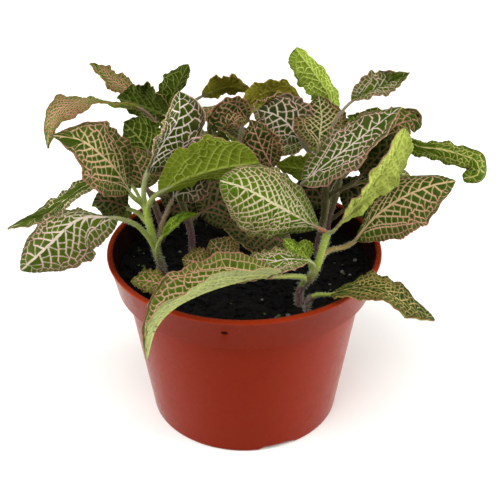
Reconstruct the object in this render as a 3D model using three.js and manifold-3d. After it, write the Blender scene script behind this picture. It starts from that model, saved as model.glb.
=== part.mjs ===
// A nerve plant in a 12 cm nursery pot: leafy stems stand in holes in the potting soil.
// Units are millimetres, +Z is up, and the origin is the centre of the pot's base, on the ground.
// -Y is the side that the plant turns to the viewer.

import * as THREE from "three";
import { mergeVertices } from "three/addons/utils/BufferGeometryUtils.js";
import Module from "manifold-3d";

const wasm = await Module();
wasm.setup();

// Driving dimensions of the pot
const POT_HEIGHT = 80.4;
const RIM_RADIUS = 60;
const COLLAR_HEIGHT = 15.4;
const COLLAR_BOTTOM_RADIUS = 56.4;
const BODY_TOP_RADIUS = 52.4;
const BASE_RADIUS = 42.8;
const WALL = 1.6;
const LIP = 0.9;
const FLOOR_TOP = 3.8;
const POT_SEGMENTS = 44;
const DRAIN_COUNT = 3;
const DRAIN_FIRST_ANGLE = 20.4;
const DRAIN_CHANNEL_FOOT_WIDTH = 19;
const DRAIN_CHANNEL_TOP_WIDTH = 13;
const DRAIN_CHANNEL_HEIGHT = 2;
const DRAIN_CHANNEL_START = 24;
const DRAIN_HOLE_RADIUS = 4;
const DRAIN_HOLE_PLACE = 30;
const COLLAR_HOLE_ANGLE = -97.5;
const COLLAR_HOLE_HEIGHT = 74;
const COLLAR_HOLE_WIDTH = 3;
const COLLAR_HOLE_RISE = 1.8;

// Driving dimensions of the soil
const SOIL_TOP = 70;
const SOIL_RELIEF = 1.1;
const SOIL_RINGS = [0, 11, 22, 33, 44, 50];
const SOIL_SEGMENTS = 24;
const SEAT_GAP = 0.3;
const ROOT_DEPTH = 9;
const HOLE_SIDES = 10;

// Driving dimensions of the leaves
const BLADE_THICKNESS = 0.7;
const TOOTH_DEPTH = 0.05;
const FOOT_ROUNDNESS = 0.72;
const TIP_SHARPNESS = 1;
const INNER_LINE = 0.55;
const ROW_LENGTH = 7.6;
const PETIOLE_RADIUS = 1.15;
const PETIOLE_SIDES = 5;
const PETIOLE_STEPS = 3;
const PETIOLE_END = 0.14;
const STEM_SIDES = 7;
const STEM_STEP = 8;

const DEGREE = Math.PI / 180;

// Each leafy stem: where it stands, the line that it follows, and its leaves.
// A leaf's midrib runs through the given points, from the foot of the blade to its tip.
// "face" is the way that its upper side looks at the foot, and "from" is the place along the stem
// where its stalk starts. Fold, cup and twist are degrees, and wave is the height of its ruffle.
const STEMS = [
  {
    name: "stem_left",
    line: [[-35, -14, 76], [-37, -17, 88], [-39, -15, 97], [-41, -10, 103]],
    radius: 1.5,
    leaves: [
      {
        from: 1, width: 30.3, face: [0.08, -0.36, 0.93], wave: 1.3, phase: 40,
        fold: 1, cup: -2, twist: 2, foot: 1.08, tip: 1.5,
        midrib: [
          [-47, -12, 112], [-51, -14, 122], [-56, -16, 130],
          [-64, -19, 139], [-76, -20, 142],
        ],
      },
      {
        from: 0.55, width: 30.8, face: [0.16, -0.08, 0.98], wave: 1.2, phase: 100,
        fold: -25, cup: 14, twist: -48, foot: 0.75, tip: 0.77,
        midrib: [
          [-51, -24, 107], [-60, -30, 111], [-66, -33, 111],
          [-71, -36, 108], [-78, -39, 102], [-89, -40, 92],
        ],
      },
      {
        from: 0.9, width: 31, face: [0, 0.85, 0.5], fold: 25, wave: 1.4, phase: 0, tip: 0.5,
        midrib: [[-35, -13, 113], [-24, -12, 119], [-11, -13, 124], [6, -17, 129]],
      },
      {
        from: 0.9, width: 28.2, face: [0.9, -0.2, 0.39], wave: 1, phase: 200,
        fold: 20, cup: -9, twist: -28, foot: 0.56, tip: 0.73,
        midrib: [[-40, -6, 119], [-34, -3, 130], [-27, -1, 141], [-26, -2, 153]],
      },
      {
        from: 0.8, width: 10, face: [-0.3, -0.35, 0.85], fold: 15, wave: 0.6, phase: 90,
        midrib: [[-58, 4, 111], [-68, 0, 109], [-85, -4, 98], [-102, -4, 91]],
      },
      {
        from: 0.75, width: 17, face: [-0.2, -0.7, 0.7], wave: 1, phase: 10,
        midrib: [[-49, -9, 104], [-56, -9, 107], [-63, -9, 107]],
      },
      {
        from: 0.6, width: 20, face: [0, 0.9, 0.4], wave: 1, phase: 60,
        midrib: [[-49, 4, 96], [-58, 7, 96], [-67, 10, 95]],
      },
      {
        from: 0.45, width: 22, face: [0.1, -0.75, 0.6], wave: 1, phase: 0, foot: 0.9,
        midrib: [[-30, -8, 107], [-25, -4, 114], [-20, 0, 122]],
      },
      {
        from: 0.4, width: 5.5, face: [-0.5, -0.6, 0.6], wave: 0.3, phase: 0, fold: 25,
        midrib: [[-34, -20, 96], [-30, -20, 101], [-25, -19, 105], [-19, -18, 106]],
      },
    ],
  },
  {
    name: "stem_right",
    line: [[23, -30, 76], [29, -32, 87], [32, -27, 94], [34, -22, 98]],
    radius: 1.6,
    leaves: [
      {
        from: 1, width: 31.6, face: [-0.37, -0.74, 0.56], wave: 1.2, phase: 60,
        fold: -10, cup: 30, twist: 33, foot: 0.95, tip: 0.72,
        midrib: [[31, -22, 101], [20, -30, 112], [11, -35, 120], [1, -37, 127], [-9, -38, 131]],
      },
      {
        from: 1, width: 15.8, face: [-0.41, 0.75, 0.51], wave: 1, phase: 0,
        fold: 1, cup: 31, twist: -9, foot: 1.23, tip: 0.6,
        midrib: [[36, -26, 102], [44, -29, 115], [52, -30, 127], [58, -29, 137], [62, -25, 147]],
      },
      {
        from: 0.75, width: 29, face: [-0.47, -0.44, 0.77], wave: 1.3, phase: 150,
        fold: -7, cup: 40, twist: 6, foot: 0.96, tip: 0.93,
        midrib: [
          [46, -20, 94], [50, -21, 101], [56, -22, 109],
          [65, -22, 116], [75, -21, 120], [85, -20, 122],
        ],
      },
      {
        from: 0.5, width: 14, face: [0, -0.25, 0.95], wave: 0.7, phase: 20, foot: 0.9,
        midrib: [[26, -36, 94], [17, -40, 97], [6, -45, 96.5], [-5, -46, 90]],
      },
      {
        from: 0.5, width: 6, face: [-0.3, -0.6, 0.7], wave: 0.6, phase: 0, tip: 0.6,
        midrib: [[27, -32, 91], [21, -33, 97], [16, -34, 103]],
      },
      {
        from: 0.55, width: 6.5, face: [0, -0.8, 0.5], wave: 0.6, phase: 90, tip: 0.6,
        midrib: [[26, -31, 92], [25, -31, 96], [24, -31, 101]],
      },
      {
        from: 0.4, width: 25, face: [-0.1, 0, 1], wave: 1.1, phase: 30,
        fold: 52, cup: 8, foot: 0.9, tip: 1.25,
        midrib: [
          [15, -46, 93], [6, -52, 96.5], [-6, -57, 96.5], [-17, -61, 94.5],
          [-27, -65, 90.5], [-34, -67, 82.5], [-38, -68, 69],
        ],
      },
    ],
  },
  {
    name: "stem_low_right",
    line: [[26, -38, 76], [28, -39, 79]],
    radius: 1.3,
    leaves: [
      {
        from: 1, width: 19.1, face: [0.03, -0.27, 0.96], wave: 1.1, phase: 80,
        fold: 13, cup: 13, twist: -14, foot: 0.85, tip: 0.81,
        midrib: [[35, -42, 82], [44, -50, 90], [53, -54, 92], [62, -56, 87], [75, -56, 79]],
      },
    ],
  },
  {
    name: "sprout_left",
    line: [[-33, -24, 74]],
    radius: 1.1,
    leaves: [
      {
        from: 1, width: 13, face: [0, -0.3, 1], wave: 0.8, phase: 0,
        midrib: [[-33, -30, 78], [-39, -29, 80], [-47, -29, 80]],
      },
    ],
  },
  {
    name: "sprout_middle",
    line: [[-12, -6, 74]],
    radius: 1.1,
    leaves: [
      {
        from: 1, width: 17, face: [0, -0.6, 0.7], wave: 0.8, phase: 0,
        midrib: [[-6, -8, 77], [-11, -3, 80], [-15, 0, 83]],
      },
      {
        from: 1, width: 13, face: [-0.2, -0.6, 0.7], wave: 0.8, phase: 0,
        midrib: [[-16, -12, 77], [-21, -10, 78], [-27, -8, 78]],
      },
    ],
  },
  {
    name: "stem_middle",
    line: [[-4, 12, 78], [-4, 10, 95], [0, 6, 112], [4, 3, 118]],
    radius: 1.6,
    leaves: [
      {
        from: 1, width: 18, face: [-0.5, -0.8, 0.3], wave: 1, phase: 0,
        midrib: [[12, -8, 122], [7, -5, 131], [3, 0, 140]],
      },
      {
        from: 0.9, width: 15, face: [-0.3, -0.6, 0.7], fold: 40, wave: 1, phase: 0,
        midrib: [[2, 18, 132], [-3, 16, 136], [-9, 12, 137], [-13, 9, 134], [-15, 6, 130]],
      },
      {
        from: 0.6, width: 28, face: [0, -0.4, 0.9], wave: 1, phase: 0,
        midrib: [[19, -12, 88], [7, -16, 95], [-8, -22, 101]],
      },
      {
        from: 0.85, width: 19, face: [0, 0.75, 0.65], wave: 1, phase: 0,
        midrib: [[-1, 20, 128], [3, 27, 132], [12, 31, 136], [26, 32, 133]],
      },
    ],
  },
  {
    name: "stem_back_right",
    line: [[33, 8, 76], [35, 6, 92], [35, 2, 106], [34, -1, 114]],
    radius: 1.7,
    leaves: [
      {
        from: 1, width: 29, face: [-0.6, -0.25, 0.75], wave: 1.2, phase: 0,
        midrib: [[24, -9, 115], [37, -8, 126], [50, -7, 137], [63, -6, 148]],
      },
      {
        from: 1, width: 23, face: [0, -0.3, 1], wave: 1, phase: 0,
        midrib: [[31, 2, 126], [32, 9, 130], [33, 17, 134], [32, 26, 140]],
      },
      {
        from: 1, width: 24, face: [-0.2, -0.6, 0.8], wave: 1, phase: 0,
        midrib: [[24, 12, 125], [20, 15, 130], [14, 18, 134], [6, 22, 135]],
      },
      {
        from: 0.8, width: 15.4, face: [-0.37, 0.7, 0.61], wave: 1.2, phase: 0,
        fold: 23, cup: -10, twist: 37, foot: 0.67, tip: 0.37,
        midrib: [[41, 34, 125], [37, 36, 136], [31, 38, 145], [22, 40, 156]],
      },
      {
        from: 0.9, width: 14, face: [-0.24, -0.35, 0.91], wave: 1.3, phase: 0,
        fold: 41, twist: 57, foot: 0.79, tip: 1.07,
        midrib: [[45, 14, 142], [53, 18, 145], [62, 22, 148], [70, 22, 152]],
      },
      {
        from: 0.8, width: 25, face: [0, 0.9, 0.3], wave: 1, phase: 0,
        midrib: [[51, 8, 125], [54, 11, 132], [56, 13, 140]],
      },
      {
        from: 0.8, width: 14, face: [0, -0.6, 0.8], wave: 1, phase: 0,
        midrib: [[58, 0, 131], [62, 2, 136], [68, 3, 138], [70, 2, 137], [70, 0, 134]],
      },
      {
        from: 0.7, width: 18, face: [-0.3, -0.7, 0.6], wave: 1, phase: 0,
        midrib: [[49, -5, 117], [56, -4, 126], [64, -2, 133]],
      },
      {
        from: 0.95, width: 18, face: [0, 0.85, 0.5], wave: 0.8, phase: 0,
        midrib: [[35, 8, 112], [25, 8, 114], [13, 8, 116]],
      },
      {
        from: 0.75, width: 10.7, face: [0.33, -0.89, 0.3], wave: 1, phase: 0,
        fold: -15, cup: 34, twist: 13, foot: 0.5, tip: 0.35,
        midrib: [
          [66, 6, 130], [72, 0, 128], [81, -3, 128], [89, -6, 127],
          [95, -8, 125], [96, -10, 120], [90, -10, 118],
        ],
      },
    ],
  },
  {
    name: "stem_back_left",
    line: [[-24, 14, 78], [-28, 14, 95], [-33, 14, 108], [-36, 14, 116]],
    radius: 1.6,
    leaves: [
      {
        from: 1, width: 30, face: [0.1, 0.85, 0.52], wave: 1.2, phase: 0,
        midrib: [[-32, 26, 130], [-43, 30, 133], [-56, 34, 136]],
      },
      {
        from: 1, width: 15.2, face: [-0.32, 0.73, 0.61], wave: 1, phase: 0,
        fold: 41, cup: -10, twist: -30, foot: 0.99, tip: 0.95,
        midrib: [[-37, 37, 121], [-33, 36, 133], [-29, 34, 142], [-24, 32, 152]],
      },
      {
        from: 1, width: 16, face: [0.3, -0.2, 0.95], wave: 1, phase: 0,
        midrib: [[-46, 42, 134], [-54, 41, 138], [-60, 39, 143], [-67, 36, 151]],
      },
      {
        from: 0.95, width: 23.7, face: [-0.09, 0.62, 0.78], wave: 1, phase: 0,
        fold: 5, cup: 10, twist: -64, foot: 1.18, tip: 1.26,
        midrib: [
          [-44, 18, 137], [-53, 14, 141], [-64, 10, 144],
          [-74, 6, 143], [-80, 4, 137], [-82, 2, 126],
        ],
      },
      {
        from: 0.9, width: 22, face: [0, 0.9, 0.4], wave: 1, phase: 0,
        midrib: [[-40, 8, 121], [-45, 10, 128], [-51, 14, 133]],
      },
      {
        from: 0.6, width: 20, face: [-0.3, -0.9, 0.2], wave: 1, phase: 0,
        midrib: [[-42, 5, 106], [-45, 6, 116], [-48, 7, 125]],
      },
      {
        from: 1, width: 18, face: [0, 0.75, 0.65], wave: 1, phase: 0,
        midrib: [[-19, 40, 134], [-12, 42, 137], [-4, 42, 138], [4, 40, 136]],
      },
      {
        from: 0.35, width: 27, face: [0, -0.8, 0.6], wave: 1, phase: 40,
        midrib: [[-21, 24, 83], [-10, 28, 88], [2, 30, 91]],
      },
    ],
  },
  {
    name: "stem_back",
    line: [[4, 34, 78], [4, 38, 92], [4, 42, 104]],
    radius: 1.7,
    leaves: [
      {
        from: 0.7, width: 30, face: [0, 0.5, 0.85], wave: 1.2, phase: 0,
        midrib: [[4, 52, 104], [3, 64, 107], [0, 78, 100], [-2, 88, 88]],
      },
      {
        from: 0.8, width: 29, face: [0.2, 0.3, 0.9], wave: 1.2, phase: 60,
        midrib: [[13, 48, 101], [24, 58, 104], [33, 68, 98], [39, 75, 87]],
      },
      {
        from: 0.8, width: 29, face: [-0.2, 0.3, 0.9], wave: 1.2, phase: 120,
        midrib: [[-6, 50, 103], [-22, 58, 106], [-36, 64, 99], [-44, 68, 88]],
      },
      {
        from: 1, width: 26, face: [0.1, 0.2, 0.95], wave: 1.2, phase: 200,
        midrib: [[10, 50, 114], [18, 62, 119], [24, 74, 114]],
      },
      {
        from: 1, width: 26, face: [-0.1, 0.2, 0.95], wave: 1.2, phase: 300,
        midrib: [[-2, 50, 114], [-12, 62, 119], [-20, 74, 114]],
      },
      {
        from: 1, width: 13, face: [0, 0.8, 0.6], wave: 1, phase: 0,
        midrib: [[-2, 37, 127], [5, 39, 134], [12, 40, 137], [20, 40, 135], [27, 38, 129]],
      },
    ],
  },
  {
    name: "stem_far_left",
    line: [[-38, 22, 78], [-41, 24, 88]],
    radius: 1.6,
    leaves: [
      {
        from: 1, width: 30, face: [-0.3, 0.4, 0.85], wave: 1.2, phase: 30,
        midrib: [[-47, 28, 98], [-54, 38, 101], [-60, 52, 95], [-63, 62, 84]],
      },
      {
        from: 0.5, width: 24, face: [0, -0.9, 0.4], wave: 1, phase: 140,
        midrib: [[-35, 29, 81], [-30, 31, 85], [-23, 33, 89]],
      },
    ],
  },
  {
    name: "stem_far_right",
    line: [[38, 24, 78], [41, 26, 90], [43, 28, 98]],
    radius: 1.7,
    leaves: [
      {
        from: 0.8, width: 29, face: [0.3, 0.2, 0.9], wave: 1.2, phase: 0,
        midrib: [[52, 28, 97], [64, 31, 101], [76, 33, 96], [84, 34, 86]],
      },
      {
        from: 0.8, width: 28, face: [0.2, 0.4, 0.85], wave: 1.2, phase: 90,
        midrib: [[48, 36, 99], [58, 46, 103], [67, 55, 97], [73, 61, 86]],
      },
      {
        from: 1, width: 25, face: [0.1, 0.1, 1], wave: 1.2, phase: 180,
        midrib: [[46, 30, 110], [56, 36, 117], [69, 38, 116]],
      },
      {
        from: 0.35, width: 26, face: [0, -0.8, 0.5], wave: 1, phase: 60,
        midrib: [[38, 37, 80], [34, 40, 87], [29, 42, 97]],
      },
      {
        from: 0.4, width: 22, face: [0, -0.8, 0.5], wave: 1, phase: 160,
        midrib: [[46, 25, 85], [53, 27, 91], [60, 29, 98]],
      },
    ],
  },
];

// Turns a three.js geometry into a solid: only the places of its corners are kept, and shared.
function solidOf(geometry) {
  const bare = geometry.clone();
  bare.deleteAttribute("normal");
  bare.deleteAttribute("uv");
  const merged = mergeVertices(bare, 1e-3);
  const mesh = new wasm.Mesh({
    numProp: 3,
    vertProperties: merged.attributes.position.array,
    triVerts: new Uint32Array(merged.index.array),
  });
  return new wasm.Manifold(mesh);
}

// Turns a solid back into a geometry.
function geometryOf(solid) {
  const mesh = solid.getMesh();
  const geometry = new THREE.BufferGeometry();
  geometry.setAttribute("position", new THREE.BufferAttribute(mesh.vertProperties, 3));
  geometry.setIndex(new THREE.BufferAttribute(mesh.triVerts, 1));
  geometry.computeVertexNormals();
  return geometry;
}

// The largest body of a solid: loose scraps and sealed hollows are left out.
function largestBody(solid) {
  return solid.decompose().reduce((best, body) => (body.volume() > best.volume() ? body : best));
}

// A tube with flat ends along a curve.
function tubeAlong(curve, radius, sides, steps) {
  const section = new THREE.Shape();
  for (let i = 0; i < sides; i++) {
    const angle = (2 * Math.PI * i) / sides;
    const place = [radius * Math.cos(angle), radius * Math.sin(angle)];
    if (i === 0) {
      section.moveTo(...place);
    } else {
      section.lineTo(...place);
    }
  }
  section.closePath();
  return new THREE.ExtrudeGeometry(section, { steps, extrudePath: curve, bevelEnabled: false });
}

// Half the blade's width as a share of its largest, from the foot (0) to the tip (1).
function bladeShape(leaf, s) {
  const sharpness = leaf.tip ?? TIP_SHARPNESS;
  const foot = leaf.foot ?? FOOT_ROUNDNESS;
  const widest = foot / (foot + sharpness);
  return (s / widest) ** foot * ((1 - s) / (1 - widest)) ** sharpness;
}

// The frame of a blade at a place s along its midrib: the point, the way along, the left side, and up.
function bladeFrame(leaf, curve, s) {
  const steps = 24;
  let along = curve.getTangentAt(0);
  const up = new THREE.Vector3(...leaf.face);
  up.addScaledVector(along, -up.dot(along)).normalize();
  const turn = new THREE.Quaternion();
  for (let i = 1; i <= steps; i++) {
    const next = curve.getTangentAt((s * i) / steps);
    turn.setFromUnitVectors(along, next);
    up.applyQuaternion(turn);
    along = next;
  }
  up.applyAxisAngle(along, (leaf.twist ?? 0) * DEGREE * s);
  const side = new THREE.Vector3().crossVectors(up, along);
  return { point: curve.getPointAt(s), along, side, up };
}

// A point of the blade's middle surface: s runs along the midrib, t from -1 (right) to 1 (left).
function bladePoint(leaf, curve, s, t, spread) {
  const frame = bladeFrame(leaf, curve, s);
  const reach = Math.abs(t);
  const arc = 0.5 * leaf.width * bladeShape(leaf, s) * reach * spread;
  const bend = (leaf.cup ?? 15) * DEGREE * 0.5 * reach;
  const chord = Math.abs(bend) > 1e-6 ? (arc * Math.sin(bend)) / bend : arc;
  const tilt = (leaf.fold ?? 12) * DEGREE - bend;
  const ruffle = Math.sin(2 * Math.PI * (leaf.waves ?? 3) * s + leaf.phase * DEGREE + (t < 0 ? 2 : 0));
  const lift = chord * Math.sin(tilt) + leaf.wave * ruffle * t * t * Math.sin(Math.PI * s);
  const point = frame.point.clone();
  point.addScaledVector(frame.side, Math.sign(t) * chord * Math.cos(tilt));
  point.addScaledVector(frame.up, lift);
  return point;
}

// The way that the blade's middle surface looks at (s, t), found from points close by.
function bladeNormal(leaf, curve, s, t) {
  const near = 0.02;
  const middle = Math.min(0.96, Math.max(0.04, s));
  const t0 = Math.max(-1, t - near);
  const t1 = Math.min(1, t + near);
  const behind = bladePoint(leaf, curve, middle - near, t, 1);
  const along = bladePoint(leaf, curve, middle + near, t, 1).sub(behind);
  const right = bladePoint(leaf, curve, middle, t0, 1);
  const across = bladePoint(leaf, curve, middle, t1, 1).sub(right);
  return along.cross(across).normalize();
}

// A leaf blade as a thin closed plate with a toothed edge, split alike on both faces.
function bladeGeometry(leaf, curve) {
  const rows = Math.max(4, Math.round(curve.getLength() / ROW_LENGTH));
  const places = [];
  const faces = [];
  // Adds one corner of the middle surface as a pair, above and below, and gives the pair's number.
  const addPair = (s, t, spread) => {
    const middle = bladePoint(leaf, curve, s, t, spread);
    const normal = bladeNormal(leaf, curve, s, t);
    for (const half of [0.5, -0.5]) {
      places.push(...middle.clone().addScaledVector(normal, half * BLADE_THICKNESS));
    }
    return places.length / 6 - 1;
  };
  // Adds a triangle of pairs to both faces; it runs anticlockwise seen from above when not flipped.
  const addFace = (a, b, c, flipped) => {
    if (a === b || b === c || a === c) {
      return;
    }
    const [p, q] = flipped ? [c, b] : [b, c];
    faces.push(2 * a, 2 * p, 2 * q, 2 * a + 1, 2 * q + 1, 2 * p + 1);
  };
  const foot = addPair(0, 0, 1);
  const tip = addPair(1, 0, 1);
  const midrib = [foot];
  for (let i = 1; i < rows; i++) {
    midrib.push(addPair(i / rows, 0, 1));
  }
  midrib.push(tip);
  for (const side of [1, -1]) {
    const flipped = side < 0;
    const inner = [foot];
    const edge = [foot];
    for (let i = 1; i < rows; i++) {
      inner.push(addPair(i / rows, INNER_LINE * side, 1));
    }
    inner.push(tip);
    for (let k = 1; k < 2 * rows; k++) {
      const crest = k % 2 === 1;
      const s = (k + (crest ? 0.3 : 0)) / (2 * rows);
      edge.push(addPair(s, side, crest ? 1 + TOOTH_DEPTH : 1 - TOOTH_DEPTH));
    }
    edge.push(tip);
    for (let i = 0; i < rows; i++) {
      addFace(midrib[i], midrib[i + 1], inner[i + 1], flipped);
      addFace(midrib[i], inner[i + 1], inner[i], flipped);
      addFace(inner[i], edge[2 * i + 1], edge[2 * i], flipped);
      addFace(inner[i], inner[i + 1], edge[2 * i + 1], flipped);
      addFace(inner[i + 1], edge[2 * i + 2], edge[2 * i + 1], flipped);
    }
    for (let k = 0; k < 2 * rows; k++) {
      const [a, b] = flipped ? [edge[k + 1], edge[k]] : [edge[k], edge[k + 1]];
      faces.push(2 * a + 1, 2 * a, 2 * b, 2 * a + 1, 2 * b, 2 * b + 1);
    }
  }
  const geometry = new THREE.BufferGeometry();
  geometry.setAttribute("position", new THREE.Float32BufferAttribute(places, 3));
  geometry.setIndex(faces);
  return geometry;
}

// The curve of a leaf's midrib.
function midribCurve(leaf) {
  return new THREE.CatmullRomCurve3(
    leaf.midrib.map((place) => new THREE.Vector3(...place)),
    false,
    "catmullrom",
    0.5,
  );
}

// A leaf's stalk: it leaves the stem at its middle and ends under the foot of the blade.
function petioleCurve(leaf, stemCurve, curve) {
  const start = stemCurve.getPointAt(leaf.from);
  const foot = curve.getPointAt(0);
  const reach = start.distanceTo(foot);
  const leaving = start.clone().addScaledVector(stemCurve.getTangentAt(leaf.from), 0.35 * reach);
  const arriving = foot.clone().addScaledVector(curve.getTangentAt(0), -0.35 * reach);
  const bent = new THREE.CubicBezierCurve3(start, leaving, arriving, foot);
  return new THREE.CatmullRomCurve3([...bent.getPoints(3), curve.getPointAt(PETIOLE_END)]);
}

// The curve of a stem, from the bottom of its hole in the soil.
function stemCurveOf(stem) {
  const [x, y] = stem.line[0];
  const points = [[x, y, SOIL_TOP - ROOT_DEPTH], [x, y, SOIL_TOP], ...stem.line];
  return new THREE.CatmullRomCurve3(points.map((place) => new THREE.Vector3(...place)));
}

// A leafy stem as one solid.
function leafyStem(stem) {
  const stemCurve = stemCurveOf(stem);
  const steps = Math.ceil(stemCurve.getLength() / STEM_STEP);
  let solid = solidOf(tubeAlong(stemCurve, stem.radius, STEM_SIDES, steps));
  for (const leaf of stem.leaves) {
    const curve = midribCurve(leaf);
    const petiole = petioleCurve(leaf, stemCurve, curve);
    solid = solid.add(solidOf(tubeAlong(petiole, PETIOLE_RADIUS, PETIOLE_SIDES, PETIOLE_STEPS)));
    solid = solid.add(solidOf(bladeGeometry(leaf, curve)));
  }
  return largestBody(solid);
}

// The pot's outline in one half plane, from the middle of its underside round to the floor inside.
function potProfile() {
  const collarBottom = POT_HEIGHT - COLLAR_HEIGHT;
  return [
    [0, 0],
    [BASE_RADIUS - 0.7, 0],
    [BASE_RADIUS, 1],
    [BODY_TOP_RADIUS, collarBottom - 0.8],
    [COLLAR_BOTTOM_RADIUS - 0.8, collarBottom],
    [COLLAR_BOTTOM_RADIUS, collarBottom + 0.6],
    [RIM_RADIUS - LIP, POT_HEIGHT - 1.6],
    [RIM_RADIUS, POT_HEIGHT - 1],
    [RIM_RADIUS, POT_HEIGHT - 0.3],
    [RIM_RADIUS - 0.3, POT_HEIGHT],
    [RIM_RADIUS - LIP - WALL + 0.3, POT_HEIGHT],
    ...soilSeat().map(([radius, height]) => [radius + SEAT_GAP, height]),
    [0, FLOOR_TOP],
  ];
}

// The inside of the pot's wall, drawn in by the gap to the soil, from the rim down to the floor.
function soilSeat() {
  const collarBottom = POT_HEIGHT - COLLAR_HEIGHT;
  return [
    [RIM_RADIUS - LIP - WALL - SEAT_GAP, POT_HEIGHT - 0.5],
    [COLLAR_BOTTOM_RADIUS - WALL - SEAT_GAP, collarBottom + 1.6],
    [BODY_TOP_RADIUS - WALL - SEAT_GAP, collarBottom + 0.4],
    [BASE_RADIUS - WALL - SEAT_GAP, FLOOR_TOP],
  ];
}

// The radius of the soil's side at a height, read off the wall that it is pressed against.
function soilRadius(height) {
  const seat = soilSeat();
  const below = seat.findIndex(([, z]) => z <= height);
  const [r1, z1] = seat[below - 1];
  const [r2, z2] = seat[below];
  return r1 + ((r2 - r1) * (height - z1)) / (z2 - z1);
}

// A body of revolution round +Z from an outline that starts and ends on the axis.
function turned(profile, segments) {
  const outline = profile.map(([radius, height]) => new THREE.Vector2(radius, height));
  return new THREE.LatheGeometry(outline, segments).rotateX(Math.PI / 2);
}

// A cutter that runs along +Z through a place, or along +X before it is turned by an angle.
function placed(geometry, x, y, z, angle = 0) {
  return solidOf(geometry.translate(x, y, z).rotateZ(angle * DEGREE));
}

// The cutter of a drain channel along X, whose sides slope outward on the way down.
function channelCutter(length) {
  const cutter = new THREE.BoxGeometry(length, 1, 2 * DRAIN_CHANNEL_HEIGHT);
  const places = cutter.attributes.position;
  const slope = DRAIN_CHANNEL_FOOT_WIDTH - DRAIN_CHANNEL_TOP_WIDTH;
  for (let i = 0; i < places.count; i++) {
    const width = DRAIN_CHANNEL_FOOT_WIDTH - Math.sign(places.getZ(i)) * slope;
    places.setY(i, places.getY(i) * width);
  }
  return cutter;
}

// The pot with its drain channels, drain holes and the small hole in its collar.
function pot() {
  let solid = solidOf(turned(potProfile(), POT_SEGMENTS));
  const channelLength = BASE_RADIUS + 4 - DRAIN_CHANNEL_START;
  for (let i = 0; i < DRAIN_COUNT; i++) {
    const angle = DRAIN_FIRST_ANGLE - 90 + (360 * i) / DRAIN_COUNT;
    const middle = DRAIN_CHANNEL_START + channelLength / 2;
    solid = solid.subtract(placed(channelCutter(channelLength), middle, 0, 0, angle));
    const hole = new THREE.CylinderGeometry(DRAIN_HOLE_RADIUS, DRAIN_HOLE_RADIUS, 12, 12);
    solid = solid.subtract(placed(hole.rotateX(Math.PI / 2), DRAIN_HOLE_PLACE, 0, FLOOR_TOP - 1, angle));
  }
  const speck = new THREE.CylinderGeometry(COLLAR_HOLE_WIDTH / 2, COLLAR_HOLE_WIDTH / 2, 12, 10);
  speck.rotateZ(Math.PI / 2).scale(1, 1, COLLAR_HOLE_RISE / COLLAR_HOLE_WIDTH);
  return solid.subtract(placed(speck, RIM_RADIUS - 2, 0, COLLAR_HOLE_HEIGHT, COLLAR_HOLE_ANGLE));
}

// The soil: it fills the pot, its top is uneven, and each stem has a plain hole in it.
function soil() {
  const top = SOIL_RINGS.toReversed().map((radius) => [radius, SOIL_TOP]);
  const side = soilSeat().filter(([, z]) => z < SOIL_TOP).toReversed();
  const foot = [soilSeat().at(-1)[0], FLOOR_TOP + SEAT_GAP];
  const profile = [[0, foot[1]], foot, ...side.slice(1), [soilRadius(SOIL_TOP), SOIL_TOP], ...top];
  const geometry = turned(profile, SOIL_SEGMENTS);
  const places = geometry.attributes.position;
  for (let i = 0; i < places.count; i++) {
    const [x, y, z] = [places.getX(i), places.getY(i), places.getZ(i)];
    if (z > SOIL_TOP - 0.01 && Math.hypot(x, y) < SOIL_RINGS.at(-1) + 1) {
      const relief = Math.sin(0.17 * x + 0.5) * Math.cos(0.21 * y) + 0.6 * Math.sin(0.31 * y + 0.13 * x);
      places.setZ(i, z + SOIL_RELIEF * relief);
    }
  }
  let solid = solidOf(geometry);
  for (const stem of STEMS) {
    const radius = stem.radius + SEAT_GAP;
    const hole = new THREE.CylinderGeometry(radius, radius, 2 * ROOT_DEPTH, HOLE_SIDES);
    const [x, y] = stem.line[0];
    solid = solid.subtract(placed(hole.rotateX(Math.PI / 2), x, y, SOIL_TOP - SEAT_GAP));
  }
  return solid;
}

// One named mesh from a solid.
function meshOf(name, solid, finish) {
  const mesh = new THREE.Mesh(geometryOf(solid), new THREE.MeshStandardMaterial(finish));
  mesh.name = name;
  return mesh;
}

const POT_FINISH = { color: 0x93361b, roughness: 0.42, metalness: 0 };
const SOIL_FINISH = { color: 0x14130f, roughness: 0.95, metalness: 0 };
const LEAF_FINISH = { color: 0x4f7a22, roughness: 0.55, metalness: 0, flatShading: true };

const plant = new THREE.Group();
plant.add(meshOf("pot", pot(), POT_FINISH));
plant.add(meshOf("soil", soil(), SOIL_FINISH));
for (const stem of STEMS) {
  plant.add(meshOf(stem.name, leafyStem(stem), LEAF_FINISH));
}

export default plant;
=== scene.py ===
"""Looks of a nerve plant in a nursery pot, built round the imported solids.

The plant is a set of leafy stems. Each blade is laid out flat as a net of veins
and cells, and is then bent along its midrib into its place.
"""

import logging
import math
from dataclasses import dataclass, field
from enum import Enum, IntEnum

import bpy
import numpy as np
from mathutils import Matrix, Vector, noise
from mathutils.geometry import delaunay_2d_cdt


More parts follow.
